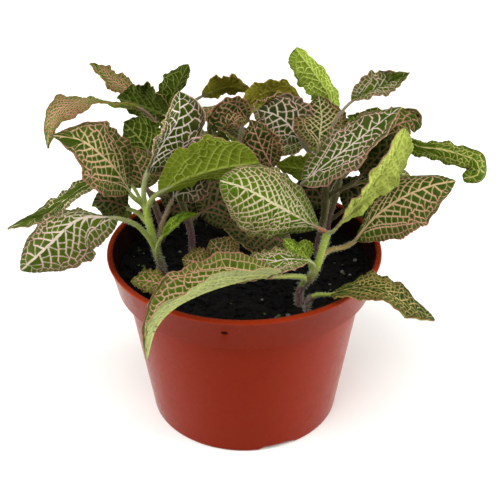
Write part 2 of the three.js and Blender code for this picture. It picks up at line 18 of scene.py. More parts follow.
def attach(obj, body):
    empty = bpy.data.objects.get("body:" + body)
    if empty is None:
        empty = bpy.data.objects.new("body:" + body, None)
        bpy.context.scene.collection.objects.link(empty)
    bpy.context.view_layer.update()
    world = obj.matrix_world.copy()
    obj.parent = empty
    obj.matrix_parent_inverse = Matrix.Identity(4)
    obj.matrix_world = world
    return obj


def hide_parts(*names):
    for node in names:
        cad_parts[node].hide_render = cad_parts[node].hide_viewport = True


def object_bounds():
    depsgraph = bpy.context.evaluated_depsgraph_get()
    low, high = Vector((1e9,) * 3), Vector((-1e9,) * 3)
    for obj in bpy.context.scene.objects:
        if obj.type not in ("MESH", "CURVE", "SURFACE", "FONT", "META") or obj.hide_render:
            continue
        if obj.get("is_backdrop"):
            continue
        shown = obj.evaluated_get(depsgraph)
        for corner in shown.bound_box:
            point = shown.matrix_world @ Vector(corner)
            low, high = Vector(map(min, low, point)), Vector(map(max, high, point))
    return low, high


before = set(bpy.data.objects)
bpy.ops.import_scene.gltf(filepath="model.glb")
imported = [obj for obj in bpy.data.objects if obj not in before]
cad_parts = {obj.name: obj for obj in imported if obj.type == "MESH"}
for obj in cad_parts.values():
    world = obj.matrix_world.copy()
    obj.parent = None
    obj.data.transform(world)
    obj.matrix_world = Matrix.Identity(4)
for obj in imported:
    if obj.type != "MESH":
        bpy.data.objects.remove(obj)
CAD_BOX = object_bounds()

LOG = logging.getLogger("nerve_plant")
MM = 0.001
TAU = 2 * math.pi

# What the visible pieces have in common with the solid model: sizes in millimetres,
# and the share of the midrib at which a stalk ends under its blade
PETIOLE_RADIUS = 1.15
PETIOLE_END = 0.14
SOIL_TOP = 70
SOIL_RELIEF = 1.1
ROOT_DEPTH = 9


class Side(IntEnum):
    """Where a cell of the vein net lies."""

    OUTSIDE = 0
    LEFT = 1
    RIGHT = -1


class Order(IntEnum):
    """The rank of a vein, from the thickest to the bare margin of the blade."""

    MIDRIB = 0
    SIDE = 1
    NET = 2
    MARGIN = 3


class Coat(IntEnum):
    """The material slots of a leafy stem."""

    UPPER = 0
    UNDER = 1
    STEM = 2
    HAIR = 3


class Vein(Enum):
    """Colours of a blade's veins: along the midrib, and out at the margin."""

    PALE = ("#F2E6DE", "#E2B4AE")
    CREAM = ("#CCBC9C", "#BC9686")
    LIME = ("#B2A886", "#A68874")
    PEACH = ("#B69C76", "#AC7268")
    PINK = ("#BAA99C", "#B07A7A")
    MIXED = ("#AE9E76", "#94564E")
    ROSE = ("#B07C6E", "#985850")
    BROWN = ("#A08A56", "#80553C")
    # DULL is painted shade: the darkened veins of leaves deep in the plant
    DULL = ("#6A463C", "#5A3834")
    OLIVE = ("#A8A060", "#86803E")
    YOUNG = ("#94A042", "#7A8A34")
    MOSS = ("#7A8A2C", "#5A6C1E")


class Green(Enum):
    """Colours of the green between the veins, on the upper side."""

    # SHADE is painted shade: the darkened green of leaves deep in the plant
    SHADE = "#181F07"
    DARK = "#2A320A"
    DEEP = "#384C08"
    MID = "#465706"
    FRESH = "#4A6004"
    YOUNG = "#5C7414"


class Stalk(Enum):
    """Colours of a leaf's stalk."""

    GREEN = "#84962E"
    # DEEP is a darker colour for the stems deep in the plant, partly painted shade
    DEEP = "#4E4A20"
    OLIVE = "#7C6A2A"
    BROWN = "#6A5224"
    ROSY = "#A0664A"


class Under(Enum):
    """Colours of the underside."""

    OLIVE = "#37430A"
    DULL = "#968C2C"
    MOSSY = "#748420"
    PALE = "#98A24A"
    SILVER = "#929866"
    BRIGHT = "#74862A"


def linear(code: str) -> tuple[float, float, float, float]:
    """Turns an sRGB hex colour into a linear one.

    Args:
        code: The colour as #RRGGBB.

    Returns:
        Red, green, blue and an alpha of 1.
    """
    parts = [int(code[i : i + 2], 16) / 255 for i in (1, 3, 5)]
    red, green, blue = (
        part / 12.92 if part <= 0.04045 else ((part + 0.055) / 1.055) ** 2.4 for part in parts
    )
    return (red, green, blue, 1.0)


def add_node(
    tree: bpy.types.NodeTree,
    kind: str,
    inputs: dict[str | int, object] | None = None,
    output: str | int = 0,
    **settings: object,
) -> bpy.types.NodeSocket | None:
    """Adds a node with its settings and links.

    Args:
        tree: The tree that gets the node.
        kind: The node's Blender type, without the word ShaderNode.
        inputs: A value, hex colour or other node's output for each named or numbered socket.
        output: The name or number of the output that is wanted.
        **settings: Values for the node's own properties.

    Returns:
        That output, or None where the node has none.
    """
    node = tree.nodes.new(f"ShaderNode{kind}")
    for name, value in settings.items():
        setattr(node, name, value)
    for key, value in (inputs or {}).items():
        if isinstance(value, bpy.types.NodeSocket):
            tree.links.new(value, node.inputs[key])
        else:
            node.inputs[key].default_value = linear(value) if isinstance(value, str) else value
    return node.outputs[output] if node.outputs else None


def unit(vectors: np.ndarray) -> np.ndarray:
    """Gives vectors a length of one."""
    return vectors / np.maximum(np.linalg.norm(vectors, axis=-1, keepdims=True), 1e-12)


def read_at(share: np.ndarray | float, shares: np.ndarray, rows: np.ndarray) -> np.ndarray:
    """Reads rows that are known at some rising shares at other shares."""
    return np.stack([np.interp(share, shares, column) for column in rows.T], -1)


def reach_along(line: np.ndarray) -> np.ndarray:
    """Gives how far along a line each of its points is."""
    return np.concatenate([[0], np.cumsum(np.linalg.norm(np.diff(line, axis=0), axis=1))])


def select_only(piece: bpy.types.Object) -> None:
    """Makes one object the selected and active one.

    Args:
        piece: The object.
    """
    bpy.ops.object.select_all(action="DESELECT")
    piece.select_set(True)
    bpy.context.view_layer.objects.active = piece


def show(name: str, data: bpy.types.ID) -> bpy.types.Object:
    """Puts a mesh, light or camera into the scene as an object of that name.

    Args:
        name: The name.
        data: The mesh, light or camera.

    Returns:
        The new object.
    """
    thing = bpy.data.objects.new(name, data)
    bpy.context.scene.collection.objects.link(thing)
    return thing


def new_mesh(name: str, points: list[np.ndarray], faces: list) -> bpy.types.Mesh:
    """Makes a mesh from points in millimetres and the faces between them.

    Args:
        name: The mesh's name.
        points: Blocks of points.
        faces: The numbers of each face's points.

    Returns:
        The new mesh.
    """
    mesh = bpy.data.meshes.new(name)
    mesh.from_pydata((np.vstack(points) * MM).tolist(), [], faces)
    return mesh


def finish_rigid(piece: bpy.types.Object, crease: float, material: bpy.types.Material) -> None:
    """Shades a rigid piece smooth up to a crease, in degrees, and gives it its one material.

    Args:
        piece: The piece.
        crease: The sharpest angle that still looks smooth.
        material: The material.
    """
    bpy.ops.object.shade_smooth_by_angle(angle=math.radians(crease))
    piece.data.materials.clear()
    piece.data.materials.append(material)


def hang(piece: bpy.types.Object, slot: str, *nodes: str) -> None:
    """Hangs a finished piece on the frame and reports it.

    Args:
        piece: The finished object.
        slot: The material slot of the record that it takes its finish from; it is not used.
        *nodes: The nodes of the solid model that it stands for.
    """
    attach(piece, "root")
    if nodes:
        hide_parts(*nodes)
    piece.data.calc_loop_triangles()
    LOG.info("%s: %d triangles", piece.name, len(piece.data.loop_triangles))


class Recipe:
    """A material in the making, on the object's own coordinates."""

    def __init__(self, name: str) -> None:
        """Starts a material.

        Args:
            name: Its name, which says what the real material is.
        """
        self.material = bpy.data.materials.new(name)
        self.material.use_nodes = True
        self.tree = self.material.node_tree
        self.tree.nodes.clear()
        self.place = self.add("TexCoord", output="Object")

    def add(self, kind: str, *inputs: object, **settings: object) -> bpy.types.NodeSocket:
        """Adds a node to the material, as add_node does."""
        return add_node(self.tree, kind, *inputs, **settings)

    def blots(self, size: float, detail: float = 3) -> dict[str, object]:
        """Gives the inputs of a noise whose blots are about size millimetres across."""
        return {"Vector": self.place, "Scale": 1 / (size * MM), "Detail": detail}

    def close(self, **sockets: object) -> bpy.types.Material:
        """Closes the material with a principled shader.

        Args:
            **sockets: Values or outputs, with underscores for the spaces of socket names.

        Returns:
            The finished material.
        """
        inputs = {name.replace("_", " "): value for name, value in sockets.items()}
        self.add("OutputMaterial", {"Surface": self.add("BsdfPrincipled", inputs)})
        return self.material


# Settings of the nodes that the finishes are mixed with. A colour mix takes its share
# at input 0 and its colours at 6 and 7, and a map range takes its value, its two ends
# and what it gives at each.
TIMES = {"operation": "MULTIPLY", "use_clamp": True}
MINUS = {"operation": "SUBTRACT", "use_clamp": True}
SOFT = {"interpolation_type": "SMOOTHSTEP"}
COLOUR = {"data_type": "RGBA", "output": 2}

# Young tissue lets light in about as far as it is thick
LIVING = {"Subsurface_Weight": 0.15, "Subsurface_Scale": MM}


@dataclass(frozen=True)
class BladeUpper:
    """Upper side of a living leaf: green cells between pale veins, under a satin cuticle."""

    shade: str = "#17260A"
    light: str = "#6F8A2C"
    edge: str = "#7A4A34"
    roughness: float = 0.48
    cell_contrast: float = 0.45
    pale_band: float = 0.3
    cloudiness: float = 0.22
    edge_tint: float = 0.45
    edge_strength: float = 0.7

    def material(self) -> bpy.types.Material:
        """Makes the material; the cuticle gives broad soft glints and no mirror.

        Returns:
            The material.
        """
        recipe = Recipe("leaf_upper_cuticle")
        add = recipe.add
        vein, tint, rim = (
            add("Attribute", output="Fac", attribute_name=name) for name in ("vein", "tint", "rim")
        )
        green, line = (
            add("Attribute", output="Color", attribute_name=name) for name in ("lamina", "line")
        )
        # Cells differ a little, the green is paler close to each vein, and the edge is dry
        dark = add("Math", {0: 1.0, 1: tint}, **MINUS)
        dark = add("Math", {0: dark, 1: self.cell_contrast}, **TIMES)
        band = add("MapRange", {0: vein, 1: -0.6, 2: 0.0}, **SOFT)
        band = add("Math", {0: band, 1: self.pale_band}, **TIMES)
        clouds = add("TexNoise", recipe.blots(6))
        clouds = add("Math", {0: clouds, 1: self.cloudiness}, **TIMES)
        for share, hue in ((dark, self.shade), (band, self.light), (clouds, self.shade)):
            green = add("Mix", {0: share, 6: green, 7: hue}, **COLOUR)
        edge = add("Mix", {0: self.edge_tint, 6: line, 7: self.edge}, **COLOUR)
        rim = add("MapRange", {0: rim, 1: 0.95, 2: 1.0}, **SOFT)
        rim = add("Math", {0: rim, 1: self.edge_strength}, **TIMES)
        green = add("Mix", {0: rim, 6: green, 7: edge}, **COLOUR)
        vein = add("MapRange", {0: vein, 1: -0.08, 2: 0.06}, **SOFT)
        # Epidermis cells are drawn 0.4 mm across, coarser than real, so that they show
        skin = add("TexNoise", recipe.blots(0.4, 1))
        return recipe.close(
            Base_Color=add("Mix", {0: vein, 6: green, 7: line}, **COLOUR),
            Roughness=self.roughness,
            Specular_IOR_Level=0.05,
            Normal=add("Bump", {"Height": skin, "Distance": 0.04 * MM}),
            Subsurface_Radius=(0.6, 1.0, 0.2),
            **LIVING,
        )


@dataclass(frozen=True)
class BladeUnder:
    """Underside of a living leaf: matt and downy, with raised veins that are paler."""

    shade: str = "#2E440C"
    roughness: float = 0.6
    cloudiness: float = 0.35

    def material(self) -> bpy.types.Material:
        """Makes the material; the down takes the gloss off.

        Returns:
            The material.
        """
        recipe = Recipe("leaf_under_down")
        add = recipe.add
        green, line = (
            add("Attribute", output="Color", attribute_name=name) for name in ("lamina", "line")
        )
        clouds = add("TexNoise", recipe.blots(5))
        clouds = add("Math", {0: clouds, 1: self.cloudiness}, **TIMES)
        green = add("Mix", {0: clouds, 6: green, 7: self.shade}, **COLOUR)
        rib = add("Attribute", output="Fac", attribute_name="vein")
        rib = add("MapRange", {0: rib, 1: -0.1, 2: 0.14}, **SOFT)
        skin = add("TexNoise", recipe.blots(0.4, 1))
        return recipe.close(
            Base_Color=add("Mix", {0: rib, 6: green, 7: line}, **COLOUR),
            Roughness=self.roughness,
            Specular_IOR_Level=0.03,
            Normal=add("Bump", {"Height": skin, "Distance": 0.06 * MM}),
            Subsurface_Radius=(0.7, 1.0, 0.2),
            **LIVING,
        )


@dataclass(frozen=True)
class SoftStem:
    """Juicy young stem: green above and purple-brown at the root, with faint blots."""

    shade: str = "#40341F"
    roughness: float = 0.55
    cloudiness: float = 0.45
    down: float = 0.06

    def material(self) -> bpy.types.Material:
        """Makes the material; its sheen stands for the finest down.

        Returns:
            The material.
        """
        recipe = Recipe("stem_soft")
        add = recipe.add
        blots = add("TexNoise", recipe.blots(3))
        blots = add("Math", {0: blots, 1: self.cloudiness}, **TIMES)
        skin = add("Attribute", output="Color", attribute_name="lamina")
        streaks = add("TexNoise", recipe.blots(0.6, 2))
        return recipe.close(
            Base_Color=add("Mix", {0: blots, 6: skin, 7: self.shade}, **COLOUR),
            Roughness=self.roughness,
            Specular_IOR_Level=0.2,
            Normal=add("Bump", {"Height": streaks, "Distance": 0.08 * MM}),
            Subsurface_Radius=(0.8, 1.0, 0.3),
            Sheen_Weight=self.down,
            **LIVING,
        )


@dataclass(frozen=True)
class MouldedPolypropylene:
    """Injection-moulded terracotta polypropylene: satin, faintly mottled, with specks."""

    body: str = "#751B02"
    # Painted shade: the collar is a darker red than the body, as it faces away from the top light
    collar_shade: str = "#6C1A02"
    # Painted highlight: the lip at the top of the rim is a lighter red, where the light catches it
    lip: str = "#86280E"
    deep: str = "#661A06"
    # Painted shade with some dried peat: the inside of the wall above the soil turns near black
    peat_and_shade: str = "#100B08"
    dust: str = "#C89C88"
    gloss: str = "#0C0200"
    haze: str = "#E8A468"
    roughness: float = 0.26
    rubbed: float = 0.08
    mottling: float = 0.3
    speck_strength: float = 0.25
    soil_line: float = 66.6
    wall_slope: float = 0.203

    def material(self) -> bpy.types.Material:
        """Makes the material; the mould's skin is dull from the front and shines at the sides.

        Returns:
            The material.
        """
        recipe = Recipe("pot_polypropylene")
        add = recipe.add
        height = add("SeparateXYZ", {0: recipe.place}, "Z")
        # Painted shade on the collar, mixed in by height
        collar_shade = add("MapRange", {0: height, 1: 63 * MM, 2: 66 * MM}, **SOFT)
        # Painted highlight on the lip, mixed in by height
        lip = add("MapRange", {0: height, 1: 78.4 * MM, 2: 79.2 * MM}, **SOFT)
        mottled = add("TexNoise", recipe.blots(16, 4))
        mottled = add("Math", {0: mottled, 1: self.mottling}, **TIMES)
        # Specks of dried splash water, about a millimetre across
        specks = add("TexNoise", recipe.blots(1.2, 2))
        specks = add("MapRange", {0: specks, 1: 0.73, 2: 0.8}, **SOFT)
        specks = add("Math", {0: specks, 1: self.speck_strength}, **TIMES)
        peat_and_shade = self._peat_and_shade(recipe, height)
        colour = self.body
        for share, hue in (
            (collar_shade, self.collar_shade),
            (lip, self.lip),
            (mottled, self.deep),
            (specks, self.dust),
            (peat_and_shade, self.peat_and_shade),
        ):
            colour = add("Mix", {0: share, 6: colour, 7: hue}, **COLOUR)
        rubbed = {0: add("TexNoise", recipe.blots(8, 6)), 1: 0.45, 2: 0.75, 3: self.roughness}
        rubbed = add("MapRange", rubbed | {4: self.roughness + self.rubbed}, **SOFT)
        grain = add("TexNoise", recipe.blots(0.7, 2))
        return recipe.close(
            Base_Color=colour,
            Roughness=rubbed,
            Normal=add("Bump", {"Height": grain, "Distance": 0.03 * MM}),
            IOR=1.49,
            Specular_IOR_Level=0.11,
            Specular_Tint=self.gloss,
            Sheen_Weight=0.35,
            Sheen_Roughness=0.12,
            Sheen_Tint=self.haze,
        )

    def _peat_and_shade(self, recipe: Recipe, height: bpy.types.NodeSocket) -> bpy.types.NodeSocket:
        """Tells how far painted shade, with some dried peat, darkens the inside of the wall above
        the soil.

        Args:
            recipe: The material in the making.
            height: The height of each point, in metres.

        Returns:
            The share of the painted shade and peat.
        """
        add = recipe.add
        flat = add("VectorMath", {0: recipe.place, 1: (1, 1, 0)}, operation="MULTIPLY")
        radius = add("VectorMath", {0: flat}, "Value", operation="LENGTH")
        above = add("Math", {0: height, 1: self.soil_line * MM}, **MINUS)
        wall = add("Math", {0: above, 1: self.wall_slope}, **TIMES)
        depth = add("Math", {0: radius, 1: wall}, **MINUS)
        # Painted shade: the inside stays near black right up to the lip
        inside = {0: depth, 1: 55.2 * MM, 2: 55.7 * MM, 3: 1, 4: 0}
        low = {0: height, 1: 66.2 * MM, 2: 66.8 * MM}
        thin = {0: height, 1: 79.2 * MM, 2: 80.3 * MM, 3: 0.97, 4: 0.3}
        inside, low, thin = (add("MapRange", limits, **SOFT) for limits in (inside, low, thin))
        return add("Math", {0: add("Math", {0: inside, 1: low}, **TIMES), 1: thin}, **TIMES)


@dataclass(frozen=True)
class DullBlots:
    """A dull finish whose first colour turns into its second in soft blots.

    Blot and detail say how large and how rough the blots are, limits where a blot
    starts and is full, and share how much of the second colour a full blot has.
    """

    name: str
    first: str
    second: str
    blot: float
    roughness: float
    detail: float = 3
    limits: tuple[float, float] = ()
    share: float = 1
    gloss: float = 0.5
    grain: float = 0

    def material(self) -> bpy.types.Material:
        """Makes the material.

        Returns:
            The material.
        """
        recipe = Recipe(self.name)
        add = recipe.add
        blots = add("TexNoise", recipe.blots(self.blot, self.detail))
        if self.limits:
            blots = add("MapRange", dict(enumerate((blots, *self.limits))), **SOFT)
        blots = add("Math", {0: blots, 1: self.share}, **TIMES)
        sockets = {"Specular_IOR_Level": self.gloss, "Roughness": self.roughness}
        if self.grain:
            rough = add("TexNoise", recipe.blots(0.8, 4))
            sockets["Normal"] = add("Bump", {"Height": rough, "Distance": self.grain * MM})
        colour = add("Mix", {0: blots, 6: self.first, 7: self.second}, **COLOUR)
        return recipe.close(Base_Color=colour, **sockets)


# White plant hair, which catches the light along the edge of a stem
FINE_HAIR = DullBlots("hair_white", "#DCE0D0", "#B4BC94", 6, 0.6)
# Damp peat soil, crumbly and dull; its near-black colour is partly painted shade from the foliage
POTTING_SOIL = DullBlots(
    "soil_peat", "#060606", "#17130D", 1.6, 0.9, 4, (0.45, 0.75), gloss=0.12, grain=0.4
)
# Grey volcanic glass puffed up by heat: chalky, and dull with soil dust
EXPANDED_PERLITE = DullBlots("perlite_grain", "#6C6E68", "#33332E", 1.2, 0.8, limits=(0.35, 0.65))
# Low moss on damp soil, whose tiny leaves look velvety
CUSHION_MOSS = DullBlots("moss_cushion", "#1E2A0C", "#4A5E18", 1.5, 0.7)
# White painted board under the plant, rolled on and quite matt
PAINTED_BOARD = DullBlots("board_white_paint", "#F6F5F2", "#EDEBE6", 60, 0.85, share=0.3)


class SpaceCurve:
    """A smooth curve through points in space, read by the share of its length."""

    stretch_steps: int = 80
    nudge: float = 0.004

    def __init__(self, points: list, even: bool = False) -> None:
        """Draws the curve.

        Args:
            points: The points, in millimetres.
            even: True spaces the points evenly, False by the root of their distances.
        """
        knots = np.array(points, float)
        knots = np.vstack([2 * knots[0] - knots[1], knots, 2 * knots[-1] - knots[-2]])
        drawn = []
        for before, start, end, after in zip(knots, knots[1:], knots[2:], knots[3:]):
            leave, arrive = self._tangents(before, start, end, after, even)
            t = np.linspace(0, 1, self.stretch_steps)[:, None]
            bend = -3 * start + 3 * end - 2 * leave - arrive
            twist = 2 * start - 2 * end + leave + arrive
            drawn.append(start + t * (leave + t * (bend + t * twist)))
        self.places = np.vstack(drawn)
        self.reach = reach_along(self.places)
        self.length = float(self.reach[-1])

    @staticmethod
    def _tangents(
        before: np.ndarray, start: np.ndarray, end: np.ndarray, after: np.ndarray, even: bool
    ) -> tuple[np.ndarray, np.ndarray]:
        """Gives how the curve leaves the start and arrives at the end of one stretch.

        Args:
            before: The knot before the stretch.
            start: The knot that it starts from.
            end: The knot that it ends at.
            after: The knot after it.
            even: True if the knots are spaced evenly.

        Returns:
            The direction at the start and the one at the end.
        """
        if even:
            return 0.5 * (end - before), 0.5 * (after - start)
        pairs = ((before, start), (start, end), (end, after))
        first, middle, last = (max(np.linalg.norm(b - a) ** 0.5, 1e-4) for a, b in pairs)
        step = (end - start) / middle
        leave = (start - before) / first - (end - before) / (first + middle) + step
        arrive = step - (after - start) / (middle + last) + (after - end) / last
        return leave * middle, arrive * middle

    def at(self, share: np.ndarray | float) -> np.ndarray:
        """Gives the points at shares of the length, from 0 to 1."""
        return read_at(np.asarray(share, float) * self.length, self.reach, self.places)

    def way(self, share: np.ndarray | float) -> np.ndarray:
        """Gives the unit directions at shares of the length.

        Args:
            share: One share or more.

        Returns:
            One direction for each share.
        """
        share = np.asarray(share, float)
        ahead, behind = np.minimum(share + self.nudge, 1), np.maximum(share - self.nudge, 0)
        return unit(self.at(ahead) - self.at(behind))

    def carried(self, up: np.ndarray, shares: np.ndarray) -> np.ndarray:
        """Carries an upward direction along the curve without turning it about the curve.

        Args:
            up: The direction at the curve's start.
            shares: The rising shares of the length at which it is wanted.

        Returns:
            One unit direction for each share.
        """
        ways = self.way(shares)
        carried = []
        for way in ways:
            up = up - way * np.dot(up, way)
            up = up / np.linalg.norm(up)
            carried.append(up)
        return np.array(carried)


@dataclass
class Shell:
    """Points and faces of a mesh in the making, with what each point carries."""

    points: list = field(default_factory=list)
    faces: list = field(default_factory=list)
    coats: list = field(default_factory=list)
    values: dict = field(default_factory=lambda: {n: [] for n in ("vein", "rim", "tint")})
    colours: dict = field(default_factory=lambda: {n: [] for n in ("lamina", "line")})
    count: int = 0

    def add(
        self,
        points: np.ndarray,
        faces: list,
        coat: int | list,
        colours: dict[str, np.ndarray],
        **values: np.ndarray | float,
    ) -> None:
        """Adds a closed part of the mesh.

        Args:
            points: Its points, in millimetres.
            faces: Its faces, as numbers of its points, anticlockwise from outside.
            coat: One material slot for all of its faces, or one for each.
            colours: Red, green, blue and alpha of each point, or one for all.
            **values: A number for each point, or one for all.
        """
        size = len(points)
        self.points.append(points)
        self.faces.extend([[corner + self.count for corner in face] for face in faces])
        self.coats.extend(coat if isinstance(coat, list) else [int(coat)] * len(faces))
        for name, store in self.values.items():
            store.append(np.broadcast_to(np.asarray(values.get(name, 0.0), float), (size,)))
        for name, store in self.colours.items():
            store.append(np.broadcast_to(np.asarray(colours[name], float), (size, 4)))
        self.count += size

    def piece(self, name: str, materials: list[bpy.types.Material]) -> bpy.types.Object:
        """Makes the object.

        Args:
            name: Its name.
            materials: Its material slots, in order.

        Returns:
            The new object, smooth-shaded and with its attributes.
        """
        mesh = new_mesh(name, self.points, self.faces)
        for material in materials:
            mesh.materials.append(material)
        mesh.polygons.foreach_set("material_index", self.coats)
        mesh.polygons.foreach_set("use_smooth", [True] * len(self.faces))
        for key, store in self.values.items():
            layer = mesh.attributes.new(key, "FLOAT", "POINT")
            layer.data.foreach_set("value", np.concatenate(store).astype(np.float32))
        for key, store in self.colours.items():
            layer = mesh.attributes.new(key, "FLOAT_COLOR", "POINT")
            layer.data.foreach_set("color", np.vstack(store).astype(np.float32).ravel())
        mesh.update()
        return show(name, mesh)


@dataclass
class Tube:
    """A round stalk swept along a curve, closed and rounded at both ends."""

    curve: SpaceCurve
    radii: np.ndarray
    sides: int = 10
    foot_bulge: float = 0.6
    tip_bulge: float = 0.8
    hair_radius: float = 0.042
    hair_root: float = 0.05

    def __post_init__(self) -> None:
        """Lays out the rings along the curve."""
        self.shares = np.linspace(0, 1, len(self.radii))
        self.middles = self.curve.at(self.shares)
        self.ways = self.curve.way(self.shares)
        side = np.cross(self.ways[0], (0.3, 0.9, 0.2))
        self.ups = self.curve.carried(side, self.shares)
        self.rights = np.cross(self.ways, self.ups)

    def points(self) -> tuple[np.ndarray, list]:
        """Gives the points and faces of the tube.

        Returns:
            The points, in millimetres, and the faces between them.
        """
        turns = TAU * np.arange(self.sides) / self.sides
        rounds = np.cos(turns)[None, :, None] * self.ups[:, None]
        rounds = rounds + np.sin(turns)[None, :, None] * self.rights[:, None] * -1
        rings = self.middles[:, None] + rounds * self.radii[:, None, None]
        first = self.middles[0] - self.ways[0] * self.radii[0] * self.foot_bulge
        last = self.middles[-1] + self.ways[-1] * self.radii[-1] * self.tip_bulge
        points = np.vstack([rings.reshape(-1, 3), first, last])
        n, size = self.sides, len(self.radii)
        faces = []
        for i in range(size - 1):
            for j in range(n):
                a, b = i * n + j, i * n + (j + 1) % n
                faces.append([a, a + n, b + n, b])
        foot, top = size * n, size * n + 1
        for j in range(n):
            faces.append([foot, j, (j + 1) % n])
            faces.append([top, (size - 1) * n + (j + 1) % n, (size - 1) * n + j])
        return points, faces

    def hairs(
        self, rng: np.random.Generator, density: float, longest: float
    ) -> tuple[np.ndarray, list]:
        """Scatters fine hairs over the tube.

        Args:
            rng: The seeded source of chance.
            density: Hairs for each millimetre of the tube.
            longest: The length of the longest hair, in millimetres.

        Returns:
            The points and faces of the hairs, each a thin closed spike.
        """
        count = int(self.curve.length * density)
        share = rng.uniform(0.02, 0.98, count)
        turn = rng.uniform(0, TAU, count)
        ways, ups, rights = (
            unit(read_at(share, self.shares, rows)) for rows in (self.ways, self.ups, self.rights)
        )
        out = np.cos(turn)[:, None] * ups - np.sin(turn)[:, None] * rights
        depth = np.interp(share, self.shares, self.radii) - self.hair_root
        root = self.curve.at(share) + out * depth[:, None]
        tilt = rng.uniform(-0.5, 0.2, (count, 1))
        lean = unit(out + ways * tilt + rng.normal(0, 0.18, (count, 3)))
        tip = root + lean * (longest * rng.uniform(0.45, 1, (count, 1)))
        return spikes(root, tip, lean, self.hair_radius)


def spikes(
    root: np.ndarray, tip: np.ndarray, lean: np.ndarray, radius: float
) -> tuple[np.ndarray, list]:
    """Makes a thin closed spike from each root to each tip.

    Args:
        root: The middles of the feet, in millimetres.
        tip: The points of the spikes.
        lean: The unit directions of the spikes.
        radius: The radius of a foot.

    Returns:
        The points and faces of all the spikes.
    """
    across = unit(np.cross(lean, (0.31, 0.52, 0.79)))
    other = np.cross(lean, across)
    turns = TAU * np.arange(3) / 3
    feet = [root + radius * (math.cos(a) * across + math.sin(a) * other) for a in turns]
    points = np.stack([*feet, tip], 1).reshape(-1, 3)
    faces = []
    for i in range(0, len(points), 4):
        faces += [[i, i + 1, i + 3], [i + 1, i + 2, i + 3], [i + 2, i, i + 3], [i, i + 2, i + 1]]
    return points, faces


@dataclass
class Leaf:
    """One leaf: where its blade runs, how it is shaped, and how it is veined.

    Start is where its stalk leaves the stem, as a share of the stem. Face is the way
    that the upper side looks at the blade's foot. Wave, scallop and pucker are depths
    in millimetres; fold, cup, twist and phase are angles in degrees.
    """

    start: float
    width: float
    face: tuple[float, float, float]
    midrib: tuple
    wave: float = 1.0
    phase: float = 0.0
    fold: float = 12.0
    cup: float = 15.0
    twist: float = 0.0
    foot: float = 0.72
    tip: float = 1.0
    cell: float = 2.3
    vein: Vein = Vein.PINK
    green: Green = Green.MID
    under: Under = Under.MOSSY
    rib: float = 0.3
    scallop: float = 0.42
    pucker: float = 1.0
    stalk: Stalk = Stalk.GREEN

    def __post_init__(self) -> None:
        """Draws the midrib and the frame that the blade is bent round."""
        self.curve = SpaceCurve(self.midrib, even=True)
        self.length = self.curve.length
        self.shares = np.linspace(0, 1, 61)
        ups = self.curve.carried(np.array(self.face, float), self.shares)
        ways = self.curve.way(self.shares)
        turn = np.radians(self.twist) * self.shares[:, None]
        self.ups = ups * np.cos(turn) + np.cross(ways, ups) * np.sin(turn)

    def spot(self, place: np.ndarray) -> tuple[float, float]:
        """Gives a flat place as its share of the midrib and of the way to the margin."""
        s = min(max(place[0] / self.length, 0.0), 1.0)
        return s, place[1] / max(float(self.half(s)), 0.05)

    def half(self, share: np.ndarray | float) -> np.ndarray:
        """Gives half the blade's flat width at shares of the midrib.

        Args:
            share: One share or more.

        Returns:
            Half the width at each, in millimetres.
        """
        s = np.clip(share, 0, 1)
        widest = self.foot / (self.foot + self.tip)
        rise = (s / widest) ** self.foot
        return 0.5 * self.width * rise * ((1 - s) / (1 - widest)) ** self.tip

    def surface(self, s: np.ndarray, t: np.ndarray) -> np.ndarray:
        """Bends the flat blade into its place in space.

        Args:
            s: Shares along the midrib.
            t: Places across, from -1 at the right margin to 1 at the left.

        Returns:
            The points of the blade's middle surface, in millimetres.
        """
        s = np.clip(s, 0, 1)
        way = self.curve.way(s)
        up = read_at(s, self.shares, self.ups)
        up = unit(up - way * np.sum(up * way, -1, keepdims=True))
        reach = np.abs(t)
        arc = self.half(s) * reach
        bend = math.radians(self.cup) * 0.5 * reach
        chord = arc * np.sinc(bend / math.pi)
        tilt = math.radians(self.fold) - bend
        angle = TAU * 3 * s + math.radians(self.phase) + np.where(t < 0, 2.0, 0.0)
        lift = chord * np.sin(tilt) + self.wave * np.sin(angle) * t * t * np.sin(math.pi * s)
        # Small puckers between the large waves of the margin
        rough = t * t * np.sin(math.pi * s) * self.pucker
        lift = lift + rough * (0.5 * np.sin(2.7 * angle + 4 * t) + 0.2 * np.sin(5.9 * angle + t))
        across = np.sign(t) * (chord * np.cos(tilt) + 0.45 * rough * np.sin(2.3 * angle + 1))
        return self.curve.at(s) + np.cross(up, way) * across[:, None] + up * lift[:, None]

    def normal(self, s: np.ndarray, t: np.ndarray) -> np.ndarray:
        """Gives the way that the blade's upper side faces.

        Args:
            s: Shares along the midrib.
            t: Places across, as for surface.

        Returns:
            One unit direction for each place.
        """
        middle = np.clip(s, 0.04, 0.96)
        t = np.clip(t, -0.98, 0.98)
        along = self.surface(middle + 0.02, t) - self.surface(middle - 0.02, t)
        across = self.surface(middle, t + 0.02) - self.surface(middle, t - 0.02)
        return unit(np.cross(along, across))

    def petiole(self, stem: SpaceCurve) -> SpaceCurve:
        """Draws the leaf's stalk from the middle of its stem to under its blade.

        Args:
            stem: The stem's line.

        Returns:
            The stalk's line.
        """
        start, leave = stem.at(self.start), stem.way(self.start)
        foot, arrive = self.curve.at(0.0), self.curve.way(0.0)
        reach = np.linalg.norm(foot - start)
        knots = [start, start + 0.35 * reach * leave, foot - 0.35 * reach * arrive, foot]
        t = np.linspace(0, 1, 4)[:, None]
        weights = [(1 - t) ** 3, 3 * t * (1 - t) ** 2, 3 * t * t * (1 - t), t**3]
        bent = sum(weight * knot for weight, knot in zip(weights, knots))
        # The eighth of the 60 steps is where the stalk ends
        below = self.curve.at(PETIOLE_END) - 0.45 * self.ups[8]
        return SpaceCurve([*bent, below])


